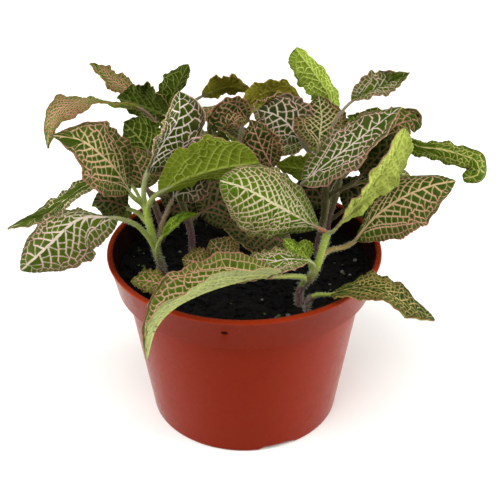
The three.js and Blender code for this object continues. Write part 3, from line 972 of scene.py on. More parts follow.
class VeinNet:
    """The net of veins of one blade, laid out flat.

    Side veins leave the midrib and arch towards the tip. Between two of them the
    seeds of the cells stand in rows, like the fields between the rungs of a ladder.
    The borders between the seeds' cells are the veins: those between regions are
    drawn onto the midrib, the side veins and the margin, and the rest are the net.
    The distances along and from the margin, and those between seeds, are shares of
    the cell's width.
    """

    leave: float = 0.46
    arch: float = 0.22
    margin_step: float = 0.72
    margin_shift: float = 0.36
    end_shift: float = 0.42
    gap_at_margin: float = 0.45
    gap_in_field: float = 0.62
    gap_of_filler: float = 0.95
    spare_in_field: float = 0.45
    spare_of_filler: float = 0.5
    filler_count: int = 700
    weld: float = 0.2
    line_steps: int = 60

    def __init__(self, leaf: Leaf, rng: np.random.Generator) -> None:
        """Lays out the net.

        Args:
            leaf: The leaf that it belongs to.
            rng: The seeded source of chance.
        """
        self.leaf = leaf
        self.rng = rng
        pairs = max(4, round(0.8 * leaf.length / (1.5 * leaf.cell)))
        self.feet = {
            side: 0.02 + 0.84 * ((np.arange(pairs) + shift) / pairs) ** 1.08
            for side, shift in ((Side.LEFT, 0.2), (Side.RIGHT, 0.6))
        }
        self.rails = self._rails()
        self._sow()
        self._grow()
        self._settle()

    def _rails(self) -> dict:
        """Gives the flat lines of the side veins and of the margin, on both sides.

        Returns:
            The lines, each named by its side and its number or margin.
        """
        leaf = self.leaf
        rails = {}
        shares = 0.5 * (1 - np.cos(np.linspace(0, math.pi, 4 * self.line_steps)))
        for side, feet in self.feet.items():
            for k, foot in enumerate(feet):
                rails[side, k] = self._side_line(side, foot)
            rails[side, "margin"] = np.stack([shares * leaf.length, side * leaf.half(shares)], -1)
        return rails

    def _side_line(self, side: int, foot: float) -> np.ndarray:
        """Gives the flat line of a side vein that leaves the midrib at a share of it.

        Args:
            side: The side of the midrib.
            foot: The share.

        Returns:
            The line's points.
        """
        t = np.linspace(0, 1, self.line_steps)
        s = self.vein_share(foot, t)
        return np.stack([s * self.leaf.length, side * t * self.leaf.half(s)], -1)

    def vein_share(self, foot: float, t: np.ndarray) -> np.ndarray:
        """Gives how far along the blade a side vein is when it is t of the way out."""
        return foot + (1 - foot) * (self.leave * t + self.arch * t * t)

    def _interval(self, side: int, place: np.ndarray) -> int:
        """Counts the side veins that a place has behind it."""
        s, t = self.leaf.spot(place)
        return int(np.sum(s > self.vein_share(self.feet[side], min(abs(t), 1.0))))

    def _walk(self, line: np.ndarray, step: float) -> list:
        """Walks along a flat line.

        Args:
            line: The line's points.
            step: The distance between stops, in millimetres.

        Returns:
            The place and the unit normal of each stop.
        """
        reach = reach_along(line)
        stops = []
        at = step * self.rng.uniform(0.4, 0.6)
        while at < reach[-1] - step * 0.2:
            here, near = read_at(at, reach, line), read_at(at + 0.05, reach, line)
            way = (near - here) / max(np.linalg.norm(near - here), 1e-9)
            stops.append((here, np.array([-way[1], way[0]])))
            at += step * self.rng.uniform(0.86, 1.14)
        return stops

    def _fields(self, side: int, behind: float, ahead: float) -> list[np.ndarray]:
        """Lays rows of seeds between two side veins, or between one and the blade's end.

        Args:
            side: The side of the midrib.
            behind: Where the vein behind leaves the midrib, as a share of it.
            ahead: Where the vein ahead leaves it.

        Returns:
            The places of the seeds.
        """
        leaf, cell = self.leaf, self.leaf.cell
        line = self._side_line(side, 0.5 * (behind + ahead))
        reach = reach_along(line)
        shares = np.linspace(0, 1, self.line_steps)
        places = []
        at = cell * self.rng.uniform(0.5, 0.75)
        while at < reach[-1]:
            out = float(np.interp(at, reach, shares))
            low, high = (float(self.vein_share(foot, out)) for foot in (behind, ahead))
            way = np.diff(line, axis=0)[min(int(out * (len(line) - 1)), len(line) - 2)]
            slant = abs(way[1]) / max(float(np.linalg.norm(way)), 1e-9)
            wide = (high - low) * leaf.length * max(slant, 0.35)
            columns = max(1, round(wide / (1.3 * cell)))
            for column in range(columns):
                part = (column + 0.5 + self.rng.uniform(-0.1, 0.1)) / columns
                along = low + part * (high - low)
                shift = out + self.rng.uniform(-0.18, 0.18) * cell / max(reach[-1], 1.0)
                shift = shift + (0.5 * cell / reach[-1] if column % 2 else 0)
                half = float(leaf.half(along))
                places.append(np.array([along * leaf.length, side * shift * half]))
            at += cell * self.rng.uniform(0.82, 1.16)
        return places

    def _sow(self) -> None:
        """Sets the seeds: rows along the margin, the fields, fillers, and a ring far outside."""
        leaf, cell = self.leaf, self.leaf.cell
        seeds, labels = [], []

        def keep(place: np.ndarray, label: tuple) -> None:
            """Sets a seed."""
            seeds.append(place)
            labels.append(label)

        def sow(place: np.ndarray, gap: float, spare: float) -> None:
            """Sets a seed that has room.

            Args:
                place: Its place.
                gap: The least distance to any other seed.
                spare: The least distance to the margin.
            """
            s = place[0] / leaf.length
            if 0 < s < 1 and 0.2 * cell < abs(place[1]) < float(leaf.half(s)) - spare:
                near = min((np.linalg.norm(place - other) for other in seeds), default=9e9)
                if near > gap:
                    side = Side.LEFT if place[1] > 0 else Side.RIGHT
                    keep(place, (side, self._interval(side, place)))

        outside = (Side.OUTSIDE, 0)
        for end in (-self.end_shift * cell, leaf.length + self.end_shift * cell):
            keep(np.array([end, 0.0]), outside)
        for side in self.feet:
            for here, normal in self._walk(self.rails[side, "margin"], self.margin_step * cell):
                out = normal * side
                keep(here + out * self.margin_shift * cell, outside)
                sow(here - out * self.margin_shift * cell, self.gap_at_margin * cell, 0.1)
        for side, feet in self.feet.items():
            gap = feet[1] - feet[0]
            ends = [feet[0] - 3 * gap, feet[0] - 2 * gap, feet[0] - gap, *feet]
            ends += [feet[-1] + 0.5 * (1 - feet[-1]), 1.0]
            for behind, ahead in zip(ends, ends[1:]):
                for place in self._fields(side, behind, ahead):
                    sow(place, self.gap_in_field * cell, self.spare_in_field * cell)
        for share, t in self.rng.uniform((0, -1), (1, 1), (self.filler_count, 2)):
            place = np.array([share * leaf.length, t * float(leaf.half(share))])
            sow(place, self.gap_of_filler * cell, self.spare_of_filler * cell)
        far = leaf.length + leaf.width
        for angle in np.linspace(0, TAU, 12, endpoint=False):
            ring = np.array([leaf.length / 2 + far * math.cos(angle), far * math.sin(angle)])
            keep(ring, outside)
        self.seeds, self.labels = np.array(seeds), labels

    def _grow(self) -> None:
        """Grows the seeds' cells: each is a ring of corners, welded where they are close."""
        seeds = [Vector(seed) for seed in self.seeds]
        _, _, triangles, origin, _, _ = delaunay_2d_cdt(seeds, [], [], 0, 1e-6)
        number = [sources[0] for sources in origin]
        triangles = [[number[corner] for corner in triangle] for triangle in triangles]
        centres = self._centres(triangles)
        around = [[] for _ in self.seeds]
        for index, triangle in enumerate(triangles):
            for corner in triangle:
                around[corner].append(index)
        rings = {}
        for seed, near in enumerate(around):
            if self.labels[seed][0] != Side.OUTSIDE:
                # The triangles' middles are ordered, as corners of flat triangles can coincide
                middles = np.array([self.seeds[triangles[i]].mean(0) for i in near])
                middles = middles - self.seeds[seed]
                order = np.argsort(np.arctan2(middles[:, 1], middles[:, 0]))
                rings[seed] = [near[i] for i in order]
        parent = list(range(len(triangles)))

        def root(i: int) -> int:
            """Finds the corner that a corner is welded to.

            Args:
                i: The corner's number.

            Returns:
                The number of the corner that stands for its group.
            """
            while parent[i] != i:
                i = parent[i]
            return i

        for ring in rings.values():
            for i, j in zip(ring, ring[1:] + ring[:1]):
                if np.linalg.norm(centres[i] - centres[j]) < self.weld * self.leaf.cell:
                    parent[root(i)] = root(j)
        groups = {}
        for i in range(len(triangles)):
            groups.setdefault(root(i), []).append(i)
        used = {root(i) for ring in rings.values() for i in ring}
        self.corners = {key: centres[groups[key]].mean(0) for key in used}
        self.touching = {
            key: {self.labels[corner] for i in groups[key] for corner in triangles[i]}
            for key in used
        }
        self.rings = {}
        for seed, ring in rings.items():
            welded = [root(i) for i in ring]
            welded = [k for i, k in enumerate(welded) if k != welded[i - 1]]
            if len(welded) > 2:
                self.rings[seed] = welded

    def _centres(self, triangles: list[list[int]]) -> np.ndarray:
        """Gives the centre of the circle through the corners of each triangle.

        Args:
            triangles: The numbers of each one's three seeds.

        Returns:
            One flat place for each triangle.
        """
        a, b, c = (self.seeds[[triangle[k] for triangle in triangles]] for k in range(3))
        ab, ac = b - a, c - a
        twice = 2 * (ab[:, 0] * ac[:, 1] - ab[:, 1] * ac[:, 0])
        twice = np.where(np.abs(twice) < 1e-9, 1e-9, twice)
        ab2, ac2 = np.sum(ab * ab, 1), np.sum(ac * ac, 1)
        across = (ac[:, 1] * ab2 - ab[:, 1] * ac2) / twice
        up = (ab[:, 0] * ac2 - ac[:, 0] * ab2) / twice
        return a + np.stack([across, up], -1)

    @staticmethod
    def nearest(line: np.ndarray, place: np.ndarray) -> np.ndarray:
        """Gives the point of a flat line that is nearest to a place.

        Args:
            line: The line's points.
            place: The place.

        Returns:
            The nearest point.
        """
        start, step = line[:-1], np.diff(line, axis=0)
        size = np.maximum(np.sum(step * step, 1), 1e-12)
        share = np.clip(np.sum((place - start) * step, 1) / size, 0, 1)
        points = start + step * share[:, None]
        return points[np.argmin(np.sum((points - place) ** 2, 1))]

    def _settle(self) -> None:
        """Draws each corner that lies between regions onto the vein or margin between them."""
        for key, labels in self.touching.items():
            outside = any(side == Side.OUTSIDE for side, _ in labels)
            parts = {side: sorted({k for s, k in labels if s == side}) for side in self.feet}
            sides = [side for side in self.feet if parts[side]]
            place = self.corners[key]
            split = [(side, parts[side][0]) for side in sides if len(parts[side]) > 1]
            if len(sides) == 2:
                if outside:
                    end = self.leaf.length if place[0] > self.leaf.length / 2 else 0.0
                    place = np.array([end, 0.0])
                elif split:
                    place = self.rails[split[0]][0]
                else:
                    place = np.array([np.clip(place[0], 0, self.leaf.length), 0.0])
            elif outside:
                margin = self.rails[sides[0], "margin"]
                place = self.rails[split[0]][-1] if split else self.nearest(margin, place)
            elif split:
                place = self.nearest(self.rails[split[0]], place)
            self.corners[key] = place

    def order(self, one: int, other: int) -> tuple[Order, object]:
        """Tells which vein runs between two cells.

        Args:
            one: The seed of a cell.
            other: The seed of its neighbour.

        Returns:
            The vein's rank, and the name of the rail that it follows, if any.
        """
        (side, part), (other_side, other_part) = self.labels[one], self.labels[other]
        if other_side == Side.OUTSIDE:
            return Order.MARGIN, (side, "margin")
        if side != other_side:
            return Order.MIDRIB, None
        if part != other_part:
            return Order.SIDE, (side, min(part, other_part))
        return Order.NET, None


# How deep a vein is sunk in the upper side and how far it stands out below, in millimetres
RELIEF = {
    Order.MIDRIB: (0.1, 0.6),
    Order.SIDE: (0.13, 0.3),
    Order.NET: (0.1, 0.12),
    Order.MARGIN: (0.06, -0.06),
}


@dataclass
class Blade:
    """The blade of a leaf as a thin closed plate, quilted between its veins."""

    leaf: Leaf
    rng: np.random.Generator
    thickness: float = 0.4
    midrib_half: float = 1.0
    midrib_taper: float = 0.65
    side_half: float = 0.4
    net_half: float = 0.13
    margin_half: float = -0.08
    band: float = 0.5
    bend: float = 0.09
    quilt: float = 0.24
    full_width: float = 30
    full_cell: float = 2.5
    rib_colour: str = "#C6D070"

    def __post_init__(self) -> None:
        """Lays out the net and starts the list of flat points."""
        self.net = VeinNet(self.leaf, self.rng)
        self.scale = float(np.clip(self.leaf.width / self.full_width, 0.6, 1.0))
        self.fine = float(np.clip(self.leaf.cell / self.full_cell, 0.75, 1.2))
        self.flat, self.vein, self.top, self.low, self.tint, self.faint = [], [], [], [], [], []

    def _half_width(self, order: Order, place: np.ndarray) -> float:
        """Gives half the width of a vein of some rank at a flat place.

        Args:
            order: The rank.
            place: The flat place.

        Returns:
            Half the width, in millimetres.
        """
        s, t = self.leaf.spot(place)
        if order is Order.MIDRIB:
            return self.scale * (self.midrib_half - self.midrib_taper * s**0.8)
        if order is Order.SIDE:
            return self.scale * self.side_half * (1 - 0.45 * min(abs(t), 1))
        if order is Order.NET:
            return self.fine * self.net_half * (1 + 0.3 * min(t * t, 1))
        return self.margin_half

    def _point(self, place: np.ndarray, order: Order, vein: float) -> int:
        """Adds a point on a vein or margin and gives its number.

        Args:
            place: The flat place.
            order: The rank of the vein.
            vein: Half the vein's width.

        Returns:
            The point's number.
        """
        sunk, raised = RELIEF[order]
        faint = 1.0 if order is Order.NET else 0.0
        half = 0.5 * self.thickness
        return self._store(place, vein, half - sunk, -half - raised, 0.5, faint)

    def _store(
        self, place: np.ndarray, vein: float, top: float, low: float, tint: float, faint: float
    ) -> int:
        """Adds a flat point with its heights above and below, and gives its number.

        Args:
            place: The flat place.
            vein: How far it is inside a vein; negative in a cell.
            top: Its height on the upper side.
            low: Its height on the underside.
            tint: The shade of its cell.
            faint: 1 where the veins are too fine for the mesh.

        Returns:
            The point's number.
        """
        self.faint.append(faint)
        self.flat.append(place)
        self.vein.append(vein)
        self.top.append(top)
        self.low.append(low)
        self.tint.append(tint)
        return len(self.flat) - 1

    def _corners(self, owners: dict) -> dict:
        """Adds the corners of the cells; each takes the rank of its thickest vein.

        Args:
            owners: The cell of each directed side.

        Returns:
            The number of each corner's point.
        """
        ranks = {}
        for (a, b), seed in owners.items():
            other = owners.get((b, a))
            order = self.net.order(seed, other)[0] if other is not None else Order.MARGIN
            for corner in (a, b):
                ranks.setdefault(corner, set()).add(order)
        numbers = {}
        for corner, orders in ranks.items():
            place = self.net.corners[corner]
            order = min(orders)
            vein = self._half_width(order, place)
            if Order.MARGIN in orders:
                vein *= 0.5
            numbers[corner] = self._point(place, order, vein)
        return numbers

    def _between(self, a: int, b: int, seed: int, other: int | None) -> list[int]:
        """Adds the points that bend one side of a cell.

        Args:
            a: The corner that it starts from.
            b: The corner that it ends at.
            seed: The cell.
            other: Its neighbour, or None at the margin.

        Returns:
            The numbers of the new points, in order.
        """
        start, end = self.net.corners[a], self.net.corners[b]
        chord = float(np.linalg.norm(end - start))
        if other is None:
            side = self.net.labels[seed][0]
            rail = self.net.rails[side, "margin"]
            added = []
            for share in (0.2, 0.5, 0.8):
                place = self.net.nearest(rail, start + share * (end - start))
                out = place - self.net.seeds[seed]
                out = out / max(np.linalg.norm(out), 1e-6)
                bulge = self.leaf.scallop * min(chord / 1.6, 1.2)
                bulge = bulge * math.sin(math.pi * share) ** 0.6 - 0.12
                added.append(self._point(place + out * bulge, Order.MARGIN, self.margin_half))
            return added
        order, rail = self.net.order(seed, other)
        middle = 0.5 * (start + end)
        if order is Order.SIDE:
            middle = self.net.nearest(self.net.rails[rail], middle)
        elif order is Order.NET:
            normal = np.array([start[1] - end[1], end[0] - start[0]])
            middle = middle + normal * self.rng.uniform(-self.bend, self.bend)
        return [self._point(middle, order, self._half_width(order, middle))]

    def add_to(self, shell: Shell) -> None:
        """Adds the blade to the mesh of its stem.

        Args:
            shell: The stem's mesh.
        """
        owners = {}
        for seed, ring in self.net.rings.items():
            for a, b in zip(ring, ring[1:] + ring[:1]):
                owners[a, b] = seed
        numbers = self._corners(owners)
        sides = {}
        upper, strip = [], []
        for seed, ring in self.net.rings.items():
            border = []
            for a, b in zip(ring, ring[1:] + ring[:1]):
                if (a, b) not in sides:
                    other = owners.get((b, a))
                    sides[a, b] = self._between(a, b, seed, other)
                    sides[b, a] = sides[a, b][::-1]
                    if other is None:
                        edge = [numbers[a], *sides[a, b], numbers[b]]
                        strip += list(zip(edge, edge[1:]))
                border += [numbers[a], *sides[a, b]]
            upper += self._cell(border)
        count = len(self.flat)
        faces = upper + [[corner + count for corner in reversed(face)] for face in upper]
        faces += [[a + count, b + count, b, a] for a, b in strip]
        coats = [int(Coat.UPPER)] * len(upper) + [int(Coat.UNDER)] * len(upper)
        coats += [int(Coat.UPPER)] * len(strip)
        self._place(shell, faces, coats)

    def _cell(self, border: list[int]) -> list:
        """Adds the inner points of a cell and gives the faces of its upper side.

        Args:
            border: The numbers of the points round it.

        Returns:
            The faces.
        """
        places = np.array([self.flat[i] for i in border])
        centre = places.mean(0)
        reach = np.maximum(np.linalg.norm(places - centre, axis=1), 1e-6)
        move = np.minimum(self.band, 0.72 * reach)
        inner_places = places + (centre - places) * (move / reach)[:, None]
        tint = self.rng.uniform(0.15, 1)
        size = min(float(reach.mean()) / 1.15, 1.2)
        half = 0.5 * self.thickness
        low, high = -half + 0.08, half + 0.1 * size
        inner = [
            self._store(place, self.vein[i] - 0.92 * step, high, low, tint, self.faint[i])
            for place, i, step in zip(inner_places, border, move)
        ]
        drop = float(np.mean([self.vein[i] for i in border])) - 0.85 * float(reach.mean())
        high, low = half + self.quilt * size, -half + 0.2 * size
        middle = self._store(centre, drop, high, low, tint, 1.0)
        faces = []
        for i, outer in enumerate(border):
            j = (i + 1) % len(border)
            faces.append([outer, border[j], inner[j], inner[i]])
            faces.append([inner[i], inner[j], middle])
        return faces

    def _place(self, shell: Shell, faces: list, coats: list) -> None:
        """Bends the flat points into space and gives them to the mesh.

        Args:
            shell: The stem's mesh.
            faces: The faces of both sides and the rim.
            coats: The material slot of each face.
        """
        leaf = self.leaf
        flat = np.array(self.flat)
        s = np.clip(flat[:, 0] / leaf.length, 0, 1)
        t = np.clip(flat[:, 1] / np.maximum(leaf.half(s), 0.05), -1.14, 1.14)
        middle, normal = leaf.surface(s, t), leaf.normal(s, t)
        heights = (np.array(side)[:, None] for side in (self.top, self.low))
        points = np.vstack([middle + normal * height for height in heights])
        near, far = (np.array(linear(code)) for code in leaf.vein.value)
        outward = np.clip(np.abs(t), 0, 1)[:, None] ** 1.3
        green = np.array(linear(leaf.green.value)) * (1 - 0.25 * outward)
        green = green + (far - green) * 0.1 * outward**2
        under = np.array(linear(leaf.under.value)) * np.ones_like(outward)
        rib = (1 - leaf.rib) * under + leaf.rib * np.array(linear(self.rib_colour))
        line = near + (far - near) * outward
        # The net between the side veins is finer than the mesh can show, so it is fainter
        faint = np.array(self.faint)[:, None] * (1 - 0.6 * outward)
        line = line + (green - line) * 0.42 * faint
        rib = rib + (under - rib) * 0.75 * faint
        colours = {"lamina": np.vstack([green, under]), "line": np.vstack([line, rib])}
        twice = {"vein": self.vein, "rim": np.abs(t), "tint": self.tint}
        values = {name: np.tile(np.asarray(value, float), 2) for name, value in twice.items()}
        shell.add(points, faces, coats, colours, **values)


@dataclass
class Stem:
    """A leafy stem with its stalks, blades and hairs, all one piece."""

    name: str
    line: tuple
    radius: float
    leaves: tuple
    young: Stalk = Stalk.GREEN
    root_colour: str = "#66484A"
    root_height: float = 6
    root_fade: float = 14
    stem_hairs: float = 17
    stalk_hairs: float = 12
    inner_hairs: float = 0.15
    stem_sides: int = 14
    stalk_sides: int = 10

    def build(self, seed: int, coats: list[bpy.types.Material]) -> bpy.types.Object:
        """Builds the stem.

        Args:
            seed: The number that its chance is seeded with.
            coats: The materials, in the order of Coat.

        Returns:
            The finished piece.
        """
        rng = np.random.default_rng(seed)
        shell = Shell()
        x, y = self.line[0][:2]
        curve = SpaceCurve([(x, y, SOIL_TOP - ROOT_DEPTH), (x, y, SOIL_TOP), *self.line])
        self._add_stem(shell, curve, rng)
        for leaf in self.leaves:
            self._add_stalk(shell, leaf, curve, rng)
            Blade(leaf, rng).add_to(shell)
        return shell.piece(f"{self.name}_living", coats)

    def _add_stem(self, shell: Shell, curve: SpaceCurve, rng: np.random.Generator) -> None:
        """Adds the stem, which swells a little where a leaf leaves it.

        Args:
            shell: The stem's mesh.
            curve: The stem's line.
            rng: The seeded source of chance.
        """
        shares = np.linspace(0, 1, 28)
        radii = self.radius * (1.03 - 0.14 * shares)
        for leaf in self.leaves:
            radii = radii + 0.16 * np.exp(-(((shares - leaf.start) * curve.length / 2.2) ** 2))
        tube = Tube(curve, np.minimum(radii, self.radius + 0.35), self.stem_sides)
        points, faces = tube.points()
        height = (points[:, 2] - SOIL_TOP - self.root_height) / self.root_fade
        height = np.clip(height, 0, 1)[:, None]
        root, young = np.array(linear(self.root_colour)), np.array(linear(self.young.value))
        colour = root + (young - root) * height**1.5
        shell.add(points, faces, Coat.STEM, {"lamina": colour, "line": colour})
        self._add_hairs(shell, tube, rng, self.stem_hairs, 1.6)

    def _add_stalk(
        self, shell: Shell, leaf: Leaf, curve: SpaceCurve, rng: np.random.Generator
    ) -> None:
        """Adds the stalk of a leaf, which thins out under the foot of its blade.

        Args:
            shell: The stem's mesh.
            leaf: The leaf.
            curve: The stem's line.
            rng: The seeded source of chance.
        """
        line = leaf.petiole(curve)
        foot = 1 - PETIOLE_END * leaf.length / line.length
        shares = np.linspace(0, 1, 18)
        slim = float(np.clip(leaf.width / 24, 0.72, 1))
        radii = PETIOLE_RADIUS * slim * np.interp(shares, (0, foot, 1), (1.05, 0.8, 0.3))
        tube = Tube(line, radii, self.stalk_sides)
        points, faces = tube.points()
        stalk = self.young if leaf.stalk is Stalk.GREEN else leaf.stalk
        young, near = np.array(linear(stalk.value)), np.array(linear(leaf.vein.value[0]))
        along = np.concatenate([np.repeat(shares, self.stalk_sides), [0, 1]])
        blend = (0.45 * along**2)[:, None]
        colour = young + (near - young) * blend
        shell.add(points, faces, Coat.STEM, {"lamina": colour, "line": colour})
        self._add_hairs(shell, tube, rng, self.stalk_hairs, 0.9)

    def _add_hairs(
        self, shell: Shell, tube: Tube, rng: np.random.Generator, density: float, longest: float
    ) -> None:
        """Adds fine hairs to a stem or stalk; those in the plant's shade have few.

        Args:
            shell: The stem's mesh.
            tube: The stem or stalk.
            rng: The seeded source of chance.
            density: Hairs for each millimetre.
            longest: The longest hair, in millimetres.
        """
        share = self.inner_hairs if self.young is Stalk.DEEP else 1
        points, faces = tube.hairs(rng, density * share, longest)
        white = np.ones(4)
        shell.add(points, faces, Coat.HAIR, {"lamina": white, "line": white})


def raised(name: str, outline: list[tuple[float, float]], corners: int) -> bpy.types.Object:
    """Raises a round body from a ring, stretch by stretch.

    Args:
        name: The name of the piece.
        outline: Its radii and heights in millimetres, from the ring at its foot.
        corners: The corners of each ring.

    Returns:
        The body, whose object sits at the origin.
    """
    bpy.ops.object.select_all(action="DESELECT")
    radius, height = outline[0]
    bpy.ops.mesh.primitive_circle_add(
        vertices=corners, radius=radius * MM, fill_type="NGON", location=(0, 0, height * MM)
    )
    piece = bpy.context.object
    piece.name = name
    piece.data.name = name
    bpy.ops.object.transform_apply(location=True, rotation=False, scale=False)
    bpy.ops.object.mode_set(mode="EDIT")
    bpy.ops.mesh.flip_normals()
    bpy.ops.mesh.select_mode(type="EDGE")
    bpy.ops.mesh.select_all(action="SELECT")
    for wide, high in outline[1:]:
        rise = (high - height) * MM
        bpy.ops.mesh.extrude_edges_move(TRANSFORM_OT_translate={"value": (0, 0, rise)})
        share = wide / radius
        bpy.ops.transform.resize(value=(share, share, 1), center_override=(0, 0, high * MM))
        radius, height = wide, high
    bpy.ops.mesh.edge_face_add()
    bpy.ops.mesh.select_all(action="SELECT")
    bpy.ops.mesh.normals_make_consistent(inside=False)
    bpy.ops.object.mode_set(mode="OBJECT")
    return piece


@dataclass
class Pot:
    """Round nursery pot, moulded in one piece."""

    height: float = 80.4
    rim: float = 60
    collar_height: float = 15.4
    collar_foot: float = 56.4
    body_top: float = 52.4
    base: float = 42.8
    wall: float = 1.6
    lip: float = 2.5
    floor_top: float = 3.8
    channel_angles: tuple[float, ...] = (-69.6, 50.4, 170.4)
    channel_foot: float = 19
    channel_top: float = 13
    channel_height: float = 2
    channel_start: float = 24
    channel_rounding: float = 0.9
    drain_place: float = 30
    drain_radius: float = 4
    hole_angle: float = -97.5
    hole_height: float = 74
    hole_size: tuple[float, float] = (3, 1.8)
    cutter_depth: float = 12
    corners: int = 160
    crease: float = 32
    finish: MouldedPolypropylene = MouldedPolypropylene()

    def outline(self) -> list[tuple[float, float]]:
        """Gives the radii and heights round the wall, from the foot to the floor inside.

        Returns:
            Pairs of a radius and a height, in millimetres.
        """
        top, rim, foot = self.height, self.rim, self.collar_foot
        body, base = self.body_top, self.base
        step, inner = top - self.collar_height, rim - self.lip
        return [
            (base - 1.6, 0),
            (base - 0.6, 0.12),
            (base - 0.1, 0.5),
            (base, 1.1),
            (body - 0.1, step - 1.6),
            (body + 0.1, step - 0.8),
            (body + 0.7, step - 0.3),
            (foot - 1.2, step - 0.1),
            (foot - 0.5, step + 0.05),
            (foot - 0.1, step + 0.35),
            (foot + 0.05, step + 0.9),
            (rim - 0.95, top - 2.1),
            (rim - 0.7, top - 1.5),
            (rim - 0.15, top - 1.2),
            (rim, top - 0.8),
            (rim - 0.05, top - 0.35),
            (rim - 0.3, top - 0.05),
            (rim - 0.8, top),
            (inner + 0.4, top),
            (inner + 0.1, top - 0.15),
            (inner, top - 0.5),
            (foot - self.wall, step + 1.6),
            (body - self.wall, step + 0.4),
            (base - self.wall + 0.6, self.floor_top + 1.2),
            (base - self.wall - 0.6, self.floor_top),
        ]

    def build(self) -> bpy.types.Object:
        """Builds the pot.

        Returns:
            The finished piece.
        """
        piece = raised("pot_moulded", self.outline(), self.corners)
        length = self.base + 4 - self.channel_start
        for angle in self.channel_angles:
            turn = math.radians(angle)
            way = Vector((math.cos(turn), math.sin(turn), 0))
            channel = self._channel(way * (self.channel_start + length / 2) * MM, length, turn)
            self._cut(piece, channel)
            bpy.ops.mesh.primitive_cylinder_add(
                vertices=48,
                radius=self.drain_radius * MM,
                depth=self.cutter_depth * MM,
                location=way * self.drain_place * MM + Vector((0, 0, 3 * MM)),
            )
            self._cut(piece, bpy.context.object)
        self._cut(piece, self._collar_hole())
        select_only(piece)
        finish_rigid(piece, self.crease, self.finish.material())
        return piece

    def _channel(self, middle: Vector, length: float, turn: float) -> bpy.types.Object:
        """Makes the cutter of a drain channel, which widens downward and has soft edges.

        Args:
            middle: The cutter's middle, in metres.
            length: Its length, in millimetres.
            turn: Its angle about the pot's axis.

        Returns:
            The cutter.
        """
        bpy.ops.mesh.primitive_cube_add(size=1, location=middle, rotation=(0, 0, turn))
        cutter = bpy.context.object
        slope = self.channel_foot - self.channel_top
        for corner in cutter.data.vertices:
            corner.co.y *= self.channel_foot - math.copysign(slope, corner.co.z)
        cutter.scale = (length * MM, MM, 2 * self.channel_height * MM)
        bpy.ops.object.transform_apply(location=True, rotation=True, scale=True)
        bevel = cutter.modifiers.new("rounding", "BEVEL")
        bevel.width = self.channel_rounding * MM
        bevel.segments = 4
        select_only(cutter)
        bpy.ops.object.modifier_apply(modifier=bevel.name)
        return cutter

    def _collar_hole(self) -> bpy.types.Object:
        """Makes the cutter of the small oval hole in the collar.

        Returns:
            The cutter.
        """
        turn = math.radians(self.hole_angle)
        wide, high = self.hole_size
        bpy.ops.mesh.primitive_cylinder_add(
            vertices=32,
            radius=0.5 * MM,
            depth=self.cutter_depth * MM,
            rotation=(0, math.pi / 2, 0),
        )
        cutter = bpy.context.object
        bpy.ops.object.transform_apply(location=True, rotation=True, scale=True)
        cutter.scale = (1, wide, high)
        cutter.rotation_euler = (0, 0, turn)
        reach = self.rim - 2
        cutter.location = (
            reach * math.cos(turn) * MM, reach * math.sin(turn) * MM, self.hole_height * MM
        )
        return cutter

    @staticmethod
    def _cut(piece: bpy.types.Object, cutter: bpy.types.Object) -> None:
        """Cuts one body out of another.

        Args:
            piece: The body that is cut.
            cutter: The other, which is used up.
        """
        cut = piece.modifiers.new("cut", "BOOLEAN")
        cut.operation = "DIFFERENCE"
        cut.solver = "EXACT"
        cut.object = cutter
        select_only(piece)
        bpy.ops.object.modifier_apply(modifier=cut.name)
        bpy.data.objects.remove(cutter, do_unlink=True)


@dataclass
class Litter:
    """Grains that lie on the soil, with sizes in millimetres.

    Spots holds the places and widths of grains that are seen one by one. Flatness is
    a grain's height as a share of its width, and facets how finely it is divided.
    """

    name: str
    count: int
    sizes: tuple[float, float]
    seed: int
    finish: DullBlots
    spots: tuple = ()
    flatness: float = 0.75
    facets: int = 2


LITTER = (
    Litter("soil_crumbs", 1500, (0.7, 3.4), 5, POTTING_SOIL, facets=1),
    Litter(
        "soil_perlite", 26, (0.6, 2.0), 9, EXPANDED_PERLITE,
        spots=(
            (49.2, 2.3, 2), (42.8, -6.1, 2.2), (46.1, -7.8, 1.4), (31.1, -26.2, 1.8),
            (18, -41.2, 2), (13.1, -41.9, 1.4), (-26.5, 2.3, 1.6), (-29.3, 12.9, 1.5),
            (7.5, -28.5, 1.3), (36.9, -15.2, 1.2),
        ),
    ),
    Litter("soil_moss", 50, (0.8, 2.4), 14, CUSHION_MOSS, flatness=0.5),
)


